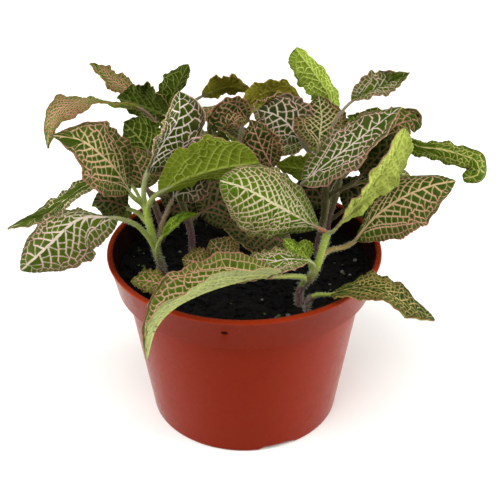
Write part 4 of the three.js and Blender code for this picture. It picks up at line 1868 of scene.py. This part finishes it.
@dataclass
class Soil:
    """The potting soil with its crumbs, perlite grains and moss."""

    pot: Pot
    gap: float = 0.3
    rings: int = 36
    crease: float = 60
    clod_size: float = 0.28
    clod_depth: float = 1.1
    grain_rise: float = 0.22
    earth: DullBlots = POTTING_SOIL

    def surface_height(self, x: np.ndarray, y: np.ndarray) -> np.ndarray:
        """Gives the height of the soil's uneven top.

        Args:
            x: Places across.
            y: Places along.

        Returns:
            The heights, in millimetres.
        """
        waves = np.sin(0.17 * x + 0.5) * np.cos(0.21 * y) + 0.6 * np.sin(0.31 * y + 0.13 * x)
        fade = np.clip((53.5 - np.hypot(x, y)) / 3, 0, 1)
        return SOIL_TOP + SOIL_RELIEF * waves * fade

    def edge_radius(self) -> float:
        """Gives the radius of the soil's top, where it meets the wall.

        Returns:
            The radius, in millimetres.
        """
        pot = self.pot
        low, high = pot.height - pot.collar_height + 1.6, pot.height - 0.5
        share = (SOIL_TOP - low) / (high - low)
        inside = pot.collar_foot - pot.wall
        return inside + share * (pot.rim - pot.lip - inside) - self.gap

    def build(self) -> bpy.types.Object:
        """Builds the body of soil.

        Returns:
            The piece that stands for the solid soil.
        """
        pot, gap = self.pot, self.gap
        step = pot.height - pot.collar_height
        outline = [
            (pot.base - pot.wall - gap - 0.8, pot.floor_top + gap),
            (pot.base - pot.wall - gap + 0.4, pot.floor_top + 1.6),
            (pot.body_top - pot.wall - gap, step + 0.4),
            (pot.collar_foot - pot.wall - gap, step + 1.8),
            (self.edge_radius(), SOIL_TOP),
        ]
        piece = raised("soil_peat", outline, pot.corners)
        select_only(piece)
        bpy.ops.object.mode_set(mode="EDIT")
        bpy.ops.mesh.select_mode(type="FACE")
        bpy.ops.mesh.select_all(action="DESELECT")
        bpy.ops.object.mode_set(mode="OBJECT")
        for face in piece.data.polygons:
            face.select = len(face.vertices) > 100 and face.center.z > 0.05
        bpy.ops.object.mode_set(mode="EDIT")
        width = self.edge_radius() / (self.rings + 1) * MM
        for _ in range(self.rings):
            bpy.ops.mesh.inset(thickness=width, depth=0)
        bpy.ops.mesh.merge(type="CENTER")
        bpy.ops.object.mode_set(mode="OBJECT")
        self._roughen(piece)
        finish_rigid(piece, self.crease, self.earth.material())
        return piece

    def _roughen(self, piece: bpy.types.Object) -> None:
        """Gives the top its waves and its clods of a few millimetres.

        Args:
            piece: The body of soil.
        """
        for vertex in piece.data.vertices:
            x, y, z = vertex.co / MM
            if z > SOIL_TOP - 0.5:
                inner = min(max((56.4 - math.hypot(x, y)) / 2, 0), 1)
                clods = noise.fractal(Vector((x, y, 3)) * self.clod_size, 0.9, 2.1, 5)
                place = float(self.surface_height(np.array(x), np.array(y)))
                vertex.co.z = (place + inner * self.clod_depth * clods) * MM

    def strew(self, kind: Litter) -> bpy.types.Object:
        """Strews rough grains over the soil: one is modelled, and the rest are copies.

        Args:
            kind: What is strewn.

        Returns:
            The grains as one piece.
        """
        bpy.ops.object.select_all(action="DESELECT")
        bpy.ops.mesh.primitive_ico_sphere_add(subdivisions=kind.facets, radius=0.5)
        first = bpy.context.object
        shape = np.array([vertex.co[:] for vertex in first.data.vertices])
        faces = [list(face.vertices) for face in first.data.polygons]
        bpy.data.objects.remove(first, do_unlink=True)
        rng = np.random.default_rng(kind.seed)
        reach = (self.edge_radius() - 1.2) * np.sqrt(rng.uniform(0, 1, kind.count))
        turn = rng.uniform(0, TAU, kind.count)
        # Small grains are commoner than large ones
        small, large = kind.sizes
        widths = small + (large - small) * rng.uniform(0, 1, kind.count) ** 2.2
        strewn = np.stack([reach * np.cos(turn), reach * np.sin(turn), widths], -1)
        strewn = np.vstack([strewn, np.array(kind.spots, float).reshape(-1, 3)])
        points, all_faces = [], []
        for x, y, width in strewn:
            grain = shape * (1 + rng.uniform(-0.22, 0.22, (len(shape), 1)))
            axes = np.linalg.qr(rng.normal(0, 1, (3, 3)))[0]
            if np.linalg.det(axes) < 0:
                axes[0] *= -1
            grain = (grain @ axes) * (1, rng.uniform(0.7, 1), kind.flatness) * width
            height = float(self.surface_height(np.array(x), np.array(y)))
            height = height + self.grain_rise * width
            start = len(points) * len(shape)
            points.append(grain + (x, y, height))
            all_faces += [[corner + start for corner in face] for face in faces]
        mesh = new_mesh(kind.name, points, all_faces)
        mesh.materials.append(kind.finish.material())
        return show(kind.name, mesh)


@dataclass
class Studio:
    """The floor, the soft lights and the camera of the photograph.

    The camera and the floor's gap are in millimetres, the floor and lights in metres.
    """

    floor_size: float = 4
    floor_gap: float = 0.2
    aim: tuple[float, float, float] = (2.46, 0, 78.07)
    eye: tuple[float, float, float] = (2.46, -388.1, 305.9)
    lens: float = 73.7
    sensor: float = 36
    sun_power: float = 2.65
    sun_way: tuple[float, float, float] = (0.25, 0.5, -1.0)
    sun_spread: float = 55
    softbox_size: float = 0.8
    middle: tuple[float, float, float] = (0, 0, 0.08)
    softboxes: tuple = (
        ("left_softbox", (-1.0, -0.1, 0.35), 10), ("right_softbox", (1.0, -0.1, 0.35), 16),
    )
    floor: DullBlots = PAINTED_BOARD

    def build(self) -> None:
        """Sets up the floor, the lights, the world and the camera."""
        bpy.ops.object.select_all(action="DESELECT")
        low = (0, 0, -self.floor_gap * MM)
        bpy.ops.mesh.primitive_plane_add(size=self.floor_size, location=low)
        board = bpy.context.object
        board.name = "floor_board"
        bpy.ops.object.transform_apply(location=True, rotation=True, scale=True)
        board.data.materials.append(self.floor.material())
        board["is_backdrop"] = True
        self._key_light()
        for name, place, power in self.softboxes:
            self._softbox(name, Vector(place), power)
        self._room()
        bpy.context.scene.view_settings.view_transform = "Standard"
        self._camera()

    @staticmethod
    def _room() -> None:
        """Makes the room: white walls, and a dark side behind the photographer."""
        world = bpy.data.worlds.new("studio")
        world.use_nodes = True
        tree = world.node_tree
        way = add_node(tree, "TexCoord", output="Generated")
        depth = add_node(tree, "SeparateXYZ", {0: way}, "Y")
        limits = {0: depth, 1: -0.9, 2: -0.1, 3: 0.12, 4: 0.46}
        wall = add_node(tree, "MapRange", limits, **SOFT)
        tree.links.new(wall, tree.nodes["Background"].inputs["Strength"])
        tree.nodes["Background"].inputs["Color"].default_value = linear("#FFFFFF")
        bpy.context.scene.world = world

    def _key_light(self) -> None:
        """Hangs the large overhead light, which is even over the whole floor."""
        light = bpy.data.lights.new("overhead", "SUN")
        light.energy = self.sun_power
        light.angle = math.radians(self.sun_spread)
        self._turn(show("overhead", light), Vector(self.sun_way))

    def _softbox(self, name: str, place: Vector, power: float) -> None:
        """Hangs a square softbox that faces the plant.

        Args:
            name: Its name.
            place: Where it hangs, in metres.
            power: Its power, in watts.
        """
        light = bpy.data.lights.new(name, "AREA")
        light.size = self.softbox_size
        light.energy = power
        lamp = show(name, light)
        lamp.location = place
        self._turn(lamp, Vector(self.middle) - lamp.location)

    @staticmethod
    def _turn(thing: bpy.types.Object, way: Vector) -> None:
        """Turns a light or the camera to look a way."""
        thing.rotation_euler = way.to_track_quat("-Z", "Y").to_euler()

    def _camera(self) -> None:
        """Puts the camera where the photograph was taken from."""
        camera = bpy.data.cameras.new("photo_camera")
        camera.lens = self.lens
        camera.sensor_width = self.sensor
        viewer = show("photo_camera", camera)
        viewer.location = Vector(self.eye) * MM
        self._turn(viewer, Vector(self.aim) - Vector(self.eye))
        bpy.context.scene.camera = viewer


# Painted shade: the leaves deep inside the plant, where little light comes, get darkened veins and
# green
INNER = {"cell": 2.2, "vein": Vein.DULL, "green": Green.SHADE}

# Each leaf: its start and width, the way it faces, its midrib, and what sets it apart
STEMS = (
    Stem("stem_left", ((-35, -14, 76), (-37, -17, 88), (-39, -15, 97), (-41, -10, 103)), 1.5, (
        Leaf(1, 30.3, (0.08, -0.36, 0.93), ((-47, -12, 112), (-51, -14, 122), (-56, -16, 130),
            (-64, -19, 139), (-76, -20, 142)), wave=1.3, phase=40, fold=1, cup=-2, twist=2,
            foot=1.08, tip=1.5, cell=2.5, vein=Vein.PEACH, green=Green.DEEP, under=Under.OLIVE),
        Leaf(0.55, 30.8, (0.16, -0.08, 0.98), ((-51, -24, 107), (-60, -30, 111), (-66, -33, 111),
            (-71, -36, 108), (-78, -39, 102), (-89, -40, 92)), wave=1.2, phase=100, fold=-25,
            cup=14, twist=-48, foot=0.75, tip=0.77, cell=3.1),
        Leaf(0.9, 31, (0, 0.85, 0.5), ((-35, -13, 113), (-24, -12, 119), (-11, -13, 124),
            (6, -17, 129)), wave=1.4, fold=25, tip=0.5, cell=3, green=Green.FRESH),
        Leaf(0.9, 28.2, (0.9, -0.2, 0.39), ((-40, -6, 119), (-34, -3, 130), (-27, -1, 141),
            (-26, -2, 153)), phase=200, fold=20, cup=-9, twist=-28, foot=0.56, tip=0.73, cell=2.8,
            vein=Vein.PALE),
        Leaf(0.8, 10, (-0.3, -0.35, 0.85), ((-58, 4, 111), (-68, 0, 109), (-85, -4, 98),
            (-102, -4, 91)), wave=0.6, phase=90, fold=15, cell=2.2, vein=Vein.CREAM),
        Leaf(0.75, 17, (-0.2, -0.7, 0.7), ((-49, -9, 104), (-56, -9, 107), (-63, -9, 107)),
            phase=10, **INNER),
        Leaf(0.6, 20, (0, 0.9, 0.4), ((-49, 4, 96), (-58, 7, 96), (-67, 10, 95)), phase=60,
            under=Under.OLIVE, **INNER),
        Leaf(0.45, 22, (0.1, -0.75, 0.6), ((-30, -8, 107), (-25, -4, 114), (-20, 0, 122)),
            foot=0.9, cell=3.2, green=Green.DARK, stalk=Stalk.BROWN),
        Leaf(0.4, 5.5, (-0.5, -0.6, 0.6), ((-34, -20, 96), (-30, -20, 101), (-25, -19, 105),
            (-19, -18, 106)), wave=0.3, fold=25, cell=1.3, vein=Vein.MOSS, green=Green.FRESH,
            scallop=0.05, pucker=0.2),
    )),
    Stem("stem_right", ((23, -30, 76), (29, -32, 87), (32, -27, 94), (34, -22, 98)), 1.6, (
        Leaf(1, 31.6, (-0.37, -0.74, 0.56), ((31, -22, 101), (20, -30, 112), (11, -35, 120),
            (1, -37, 127), (-9, -38, 131)), wave=1.2, phase=60, fold=-10, cup=30, twist=33,
            foot=0.95, tip=0.72, vein=Vein.LIME, green=Green.FRESH, stalk=Stalk.ROSY),
        Leaf(1, 15.8, (-0.41, 0.75, 0.51), ((36, -26, 102), (44, -29, 115), (52, -30, 127),
            (58, -29, 137), (62, -25, 147)), fold=1, cup=31, twist=-9, foot=1.23, tip=0.6,
            cell=2.2, green=Green.FRESH, under=Under.PALE, rib=0.12, scallop=1.1),
        Leaf(0.75, 29, (-0.47, -0.44, 0.77), ((46, -20, 94), (50, -21, 101), (56, -22, 109),
            (65, -22, 116), (75, -21, 120), (85, -20, 122)), wave=1.3, phase=150, fold=-7, cup=40,
            twist=6, foot=0.96, tip=0.93, cell=2.6, vein=Vein.PEACH, green=Green.DEEP,
            stalk=Stalk.OLIVE),
        Leaf(0.5, 14, (0, -0.25, 0.95), ((26, -36, 94), (17, -40, 97), (6, -45, 96.5),
            (-5, -46, 90)), wave=0.7, phase=20, foot=0.9, cell=2.2, green=Green.FRESH),
        Leaf(0.5, 6, (-0.3, -0.6, 0.7), ((27, -32, 91), (21, -33, 97), (16, -34, 103)), wave=0.6,
            tip=0.6, cell=1.5, vein=Vein.YOUNG, green=Green.YOUNG),
        Leaf(0.55, 6.5, (0, -0.8, 0.5), ((26, -31, 92), (25, -31, 96), (24, -31, 101)), wave=0.6,
            phase=90, tip=0.6, cell=1.5, vein=Vein.YOUNG, green=Green.YOUNG),
        Leaf(0.4, 25, (-0.1, 0, 1), ((15, -46, 93), (6, -52, 96.5), (-6, -57, 96.5),
            (-17, -61, 94.5), (-27, -65, 90.5), (-34, -67, 82.5), (-38, -68, 69)), wave=1.1,
            phase=30, fold=52, cup=8, foot=0.9, tip=1.25, cell=2.5, vein=Vein.PEACH,
            green=Green.FRESH, under=Under.SILVER),
    )),
    Stem("stem_low_right", ((26, -38, 76), (28, -39, 79)), 1.3, (
        Leaf(1, 19.1, (0.03, -0.27, 0.96), ((35, -42, 82), (44, -50, 90), (53, -54, 92),
            (62, -56, 87), (75, -56, 79)), wave=1.1, phase=80, fold=13, cup=13, twist=-14,
            foot=0.85, tip=0.81, cell=2.1, vein=Vein.BROWN, green=Green.DARK),
    )),
    Stem("sprout_left", ((-33, -24, 74),), 1.1, (
        Leaf(1, 13, (0, -0.3, 1), ((-33, -30, 78), (-39, -29, 80), (-47, -29, 80)), wave=0.8,
            cell=1.8, vein=Vein.ROSE, green=Green.FRESH),
    )),
    Stem("sprout_middle", ((-12, -6, 74),), 1.1, (
        Leaf(1, 17, (0, -0.6, 0.7), ((-6, -8, 77), (-11, -3, 80), (-15, 0, 83)), wave=0.8,
            cell=1.8, vein=Vein.ROSE, green=Green.DEEP),
        Leaf(1, 13, (-0.2, -0.6, 0.7), ((-16, -12, 77), (-21, -10, 78), (-27, -8, 78)), wave=0.8,
            cell=1.8, vein=Vein.ROSE),
    )),
    Stem("stem_middle", ((-4, 12, 78), (-4, 10, 95), (0, 6, 112), (4, 3, 118)), 1.6, (
        Leaf(1, 18, (-0.5, -0.8, 0.3), ((12, -8, 122), (7, -5, 131), (3, 0, 140)), vein=Vein.ROSE,
            green=Green.DARK),
        Leaf(0.9, 15, (-0.3, -0.6, 0.7), ((2, 18, 132), (-3, 16, 136), (-9, 12, 137),
            (-13, 9, 134), (-15, 6, 130)), fold=40, cell=2.2, vein=Vein.ROSE, green=Green.DARK),
        Leaf(0.6, 28, (0, -0.4, 0.9), ((19, -12, 88), (7, -16, 95), (-8, -22, 101)), **INNER),
        Leaf(0.85, 19, (0, 0.75, 0.65), ((-1, 20, 128), (3, 27, 132), (12, 31, 136),
            (26, 32, 133)), cell=2.6, green=Green.DARK, under=Under.DULL),
    ), young=Stalk.DEEP),
    Stem("stem_back_right", ((33, 8, 76), (35, 6, 92), (35, 2, 106), (34, -1, 114)), 1.7, (
        Leaf(1, 29, (-0.6, -0.25, 0.75), ((24, -9, 115), (37, -8, 126), (50, -7, 137),
            (63, -6, 148)), wave=1.2, cell=3.2, green=Green.DEEP),
        Leaf(1, 23, (0, -0.3, 1), ((31, 2, 126), (32, 9, 130), (33, 17, 134), (32, 26, 140)),
            cell=1.9, vein=Vein.MIXED, green=Green.DARK),
        Leaf(1, 24, (-0.2, -0.6, 0.8), ((24, 12, 125), (20, 15, 130), (14, 18, 134), (6, 22, 135)),
            cell=2.6, green=Green.DARK),
        Leaf(0.8, 15.4, (-0.37, 0.7, 0.61), ((41, 34, 125), (37, 36, 136), (31, 38, 145),
            (22, 40, 156)), wave=1.2, fold=23, cup=-10, twist=37, foot=0.67, tip=0.37,
            green=Green.FRESH, under=Under.BRIGHT, rib=0.6, scallop=0.8),
        Leaf(0.9, 14, (-0.24, -0.35, 0.91), ((45, 14, 142), (53, 18, 145), (62, 22, 148),
            (70, 22, 152)), wave=1.3, fold=41, twist=57, foot=0.79, tip=1.07, cell=2.1),
        Leaf(0.8, 25, (0, 0.9, 0.3), ((51, 8, 125), (54, 11, 132), (56, 13, 140)), cell=2.4,
            green=Green.DEEP, under=Under.OLIVE),
        Leaf(0.8, 14, (0, -0.6, 0.8), ((58, 0, 131), (62, 2, 136), (68, 3, 138), (70, 2, 137),
            (70, 0, 134)), cell=2, vein=Vein.ROSE, green=Green.DEEP),
        Leaf(0.7, 18, (-0.3, -0.7, 0.6), ((49, -5, 117), (56, -4, 126), (64, -2, 133)), **INNER),
        Leaf(0.95, 18, (0, 0.85, 0.5), ((35, 8, 112), (25, 8, 114), (13, 8, 116)), wave=0.8,
            cell=2.2, green=Green.DEEP),
        Leaf(0.75, 10.7, (0.33, -0.89, 0.3), ((66, 6, 130), (72, 0, 128), (81, -3, 128),
            (89, -6, 127), (95, -8, 125), (96, -10, 120), (90, -10, 118)), fold=-15, cup=34,
            twist=13, foot=0.5, tip=0.35, cell=2.1, vein=Vein.OLIVE, green=Green.FRESH,
            under=Under.BRIGHT),
    ), young=Stalk.DEEP),
    Stem("stem_back_left", ((-24, 14, 78), (-28, 14, 95), (-33, 14, 108), (-36, 14, 116)), 1.6, (
        Leaf(1, 30, (0.1, 0.85, 0.52), ((-32, 26, 130), (-43, 30, 133), (-56, 34, 136)), wave=1.2,
            cell=2.4, green=Green.DEEP, under=Under.OLIVE, rib=0.12),
        Leaf(1, 15.2, (-0.32, 0.73, 0.61), ((-37, 37, 121), (-33, 36, 133), (-29, 34, 142),
            (-24, 32, 152)), fold=41, cup=-10, twist=-30, foot=0.99, tip=0.95, cell=2.4,
            under=Under.OLIVE),
        Leaf(1, 16, (0.3, -0.2, 0.95), ((-46, 42, 134), (-54, 41, 138), (-60, 39, 143),
            (-67, 36, 151)), cell=1.6, vein=Vein.ROSE),
        Leaf(0.95, 23.7, (-0.09, 0.62, 0.78), ((-44, 18, 137), (-53, 14, 141), (-64, 10, 144),
            (-74, 6, 143), (-80, 4, 137), (-82, 2, 126)), fold=5, cup=10, twist=-64, foot=1.18,
            tip=1.26, cell=1.6, vein=Vein.ROSE, green=Green.FRESH),
        Leaf(0.9, 22, (0, 0.9, 0.4), ((-40, 8, 121), (-45, 10, 128), (-51, 14, 133)), cell=2.4,
            under=Under.OLIVE),
        Leaf(0.6, 20, (-0.3, -0.9, 0.2), ((-42, 5, 106), (-45, 6, 116), (-48, 7, 125)), cell=2,
            vein=Vein.ROSE, green=Green.DEEP),
        Leaf(1, 18, (0, 0.75, 0.65), ((-19, 40, 134), (-12, 42, 137), (-4, 42, 138), (4, 40, 136)),
            cell=2.2, under=Under.DULL, rib=0.15),
        # Painted shade: a dark leaf where the plant casts its shadow, over the back of the rim
        Leaf(0.35, 27, (0, -0.8, 0.6), ((-21, 24, 83), (-10, 28, 88), (2, 30, 91)), phase=40,
            cell=2.6, vein=Vein.DULL, green=Green.SHADE),
    ), young=Stalk.DEEP),
    Stem("stem_back", ((4, 34, 78), (4, 38, 92), (4, 42, 104)), 1.7, (
        Leaf(0.7, 30, (0, 0.5, 0.85), ((4, 52, 104), (3, 64, 107), (0, 78, 100), (-2, 88, 88)),
            wave=1.2, cell=2.6),
        Leaf(0.8, 29, (0.2, 0.3, 0.9), ((13, 48, 101), (24, 58, 104), (33, 68, 98), (39, 75, 87)),
            wave=1.2, phase=60, cell=2.8, vein=Vein.CREAM),
        Leaf(0.8, 29, (-0.2, 0.3, 0.9), ((-6, 50, 103), (-22, 58, 106), (-36, 64, 99),
            (-44, 68, 88)), wave=1.2, phase=120, cell=2.5, vein=Vein.PEACH),
        Leaf(1, 26, (0.1, 0.2, 0.95), ((10, 50, 114), (18, 62, 119), (24, 74, 114)), wave=1.2,
            phase=200, cell=2.4, green=Green.DEEP),
        Leaf(1, 26, (-0.1, 0.2, 0.95), ((-2, 50, 114), (-12, 62, 119), (-20, 74, 114)), wave=1.2,
            phase=300, cell=2.4, vein=Vein.ROSE, green=Green.DEEP),
        Leaf(1, 13, (0, 0.8, 0.6), ((-2, 37, 127), (5, 39, 134), (12, 40, 137), (20, 40, 135),
            (27, 38, 129)), under=Under.DULL, rib=0.2),
    ), young=Stalk.DEEP),
    Stem("stem_far_left", ((-38, 22, 78), (-41, 24, 88)), 1.6, (
        Leaf(1, 30, (-0.3, 0.4, 0.85), ((-47, 28, 98), (-54, 38, 101), (-60, 52, 95),
            (-63, 62, 84)), wave=1.2, phase=30, cell=2.6),
        # Painted shade: a dark leaf where the plant casts its shadow
        Leaf(0.5, 24, (0, -0.9, 0.4), ((-35, 29, 81), (-30, 31, 85), (-23, 33, 89)), phase=140,
            cell=2.6, vein=Vein.DULL, green=Green.SHADE),
    ), young=Stalk.DEEP),
    Stem("stem_far_right", ((38, 24, 78), (41, 26, 90), (43, 28, 98)), 1.7, (
        Leaf(0.8, 29, (0.3, 0.2, 0.9), ((52, 28, 97), (64, 31, 101), (76, 33, 96), (84, 34, 86)),
            wave=1.2, cell=2.6, vein=Vein.PEACH),
        Leaf(0.8, 28, (0.2, 0.4, 0.85), ((48, 36, 99), (58, 46, 103), (67, 55, 97), (73, 61, 86)),
            wave=1.2, phase=90, cell=2.7, green=Green.DEEP),
        Leaf(1, 25, (0.1, 0.1, 1), ((46, 30, 110), (56, 36, 117), (69, 38, 116)), wave=1.2,
            phase=180, cell=2.4, vein=Vein.CREAM),
        # Painted shade: dark leaves where the plant casts their shadow
        Leaf(0.35, 26, (0, -0.8, 0.5), ((38, 37, 80), (34, 40, 87), (29, 42, 97)), phase=60,
            cell=2.8, vein=Vein.DULL, green=Green.SHADE),
        Leaf(0.4, 22, (0, -0.8, 0.5), ((46, 25, 85), (53, 27, 91), (60, 29, 98)), phase=160,
            cell=2.8, vein=Vein.DULL, green=Green.SHADE),
    ), young=Stalk.DEEP),
)


def write_sizes() -> None:
    """Gathers the boxes of the solids and of the dressed model."""
    boxes = {"cad": CAD_BOX, "visual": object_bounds()}
    plain = {name: [list(map(float, corner)) for corner in box] for name, box in boxes.items()}


def main() -> None:
    """Builds the plant, its pot and the studio, and reports each piece."""
    logging.basicConfig(level=logging.INFO, format="%(name)s: %(message)s")
    Studio().build()
    pot = Pot()
    hang(pot.build(), "pot", "pot")
    soil = Soil(pot)
    hang(soil.build(), "soil", "soil")
    for kind in LITTER:
        hang(soil.strew(kind), "soil")
    finishes = (BladeUpper(), BladeUnder(), SoftStem(), FINE_HAIR)
    coats = [finish.material() for finish in finishes]
    for seed, stem in enumerate(STEMS):
        hang(stem.build(seed + 1, coats), "foliage", stem.name)


if __name__ == "__main__":
    main()
    write_sizes()
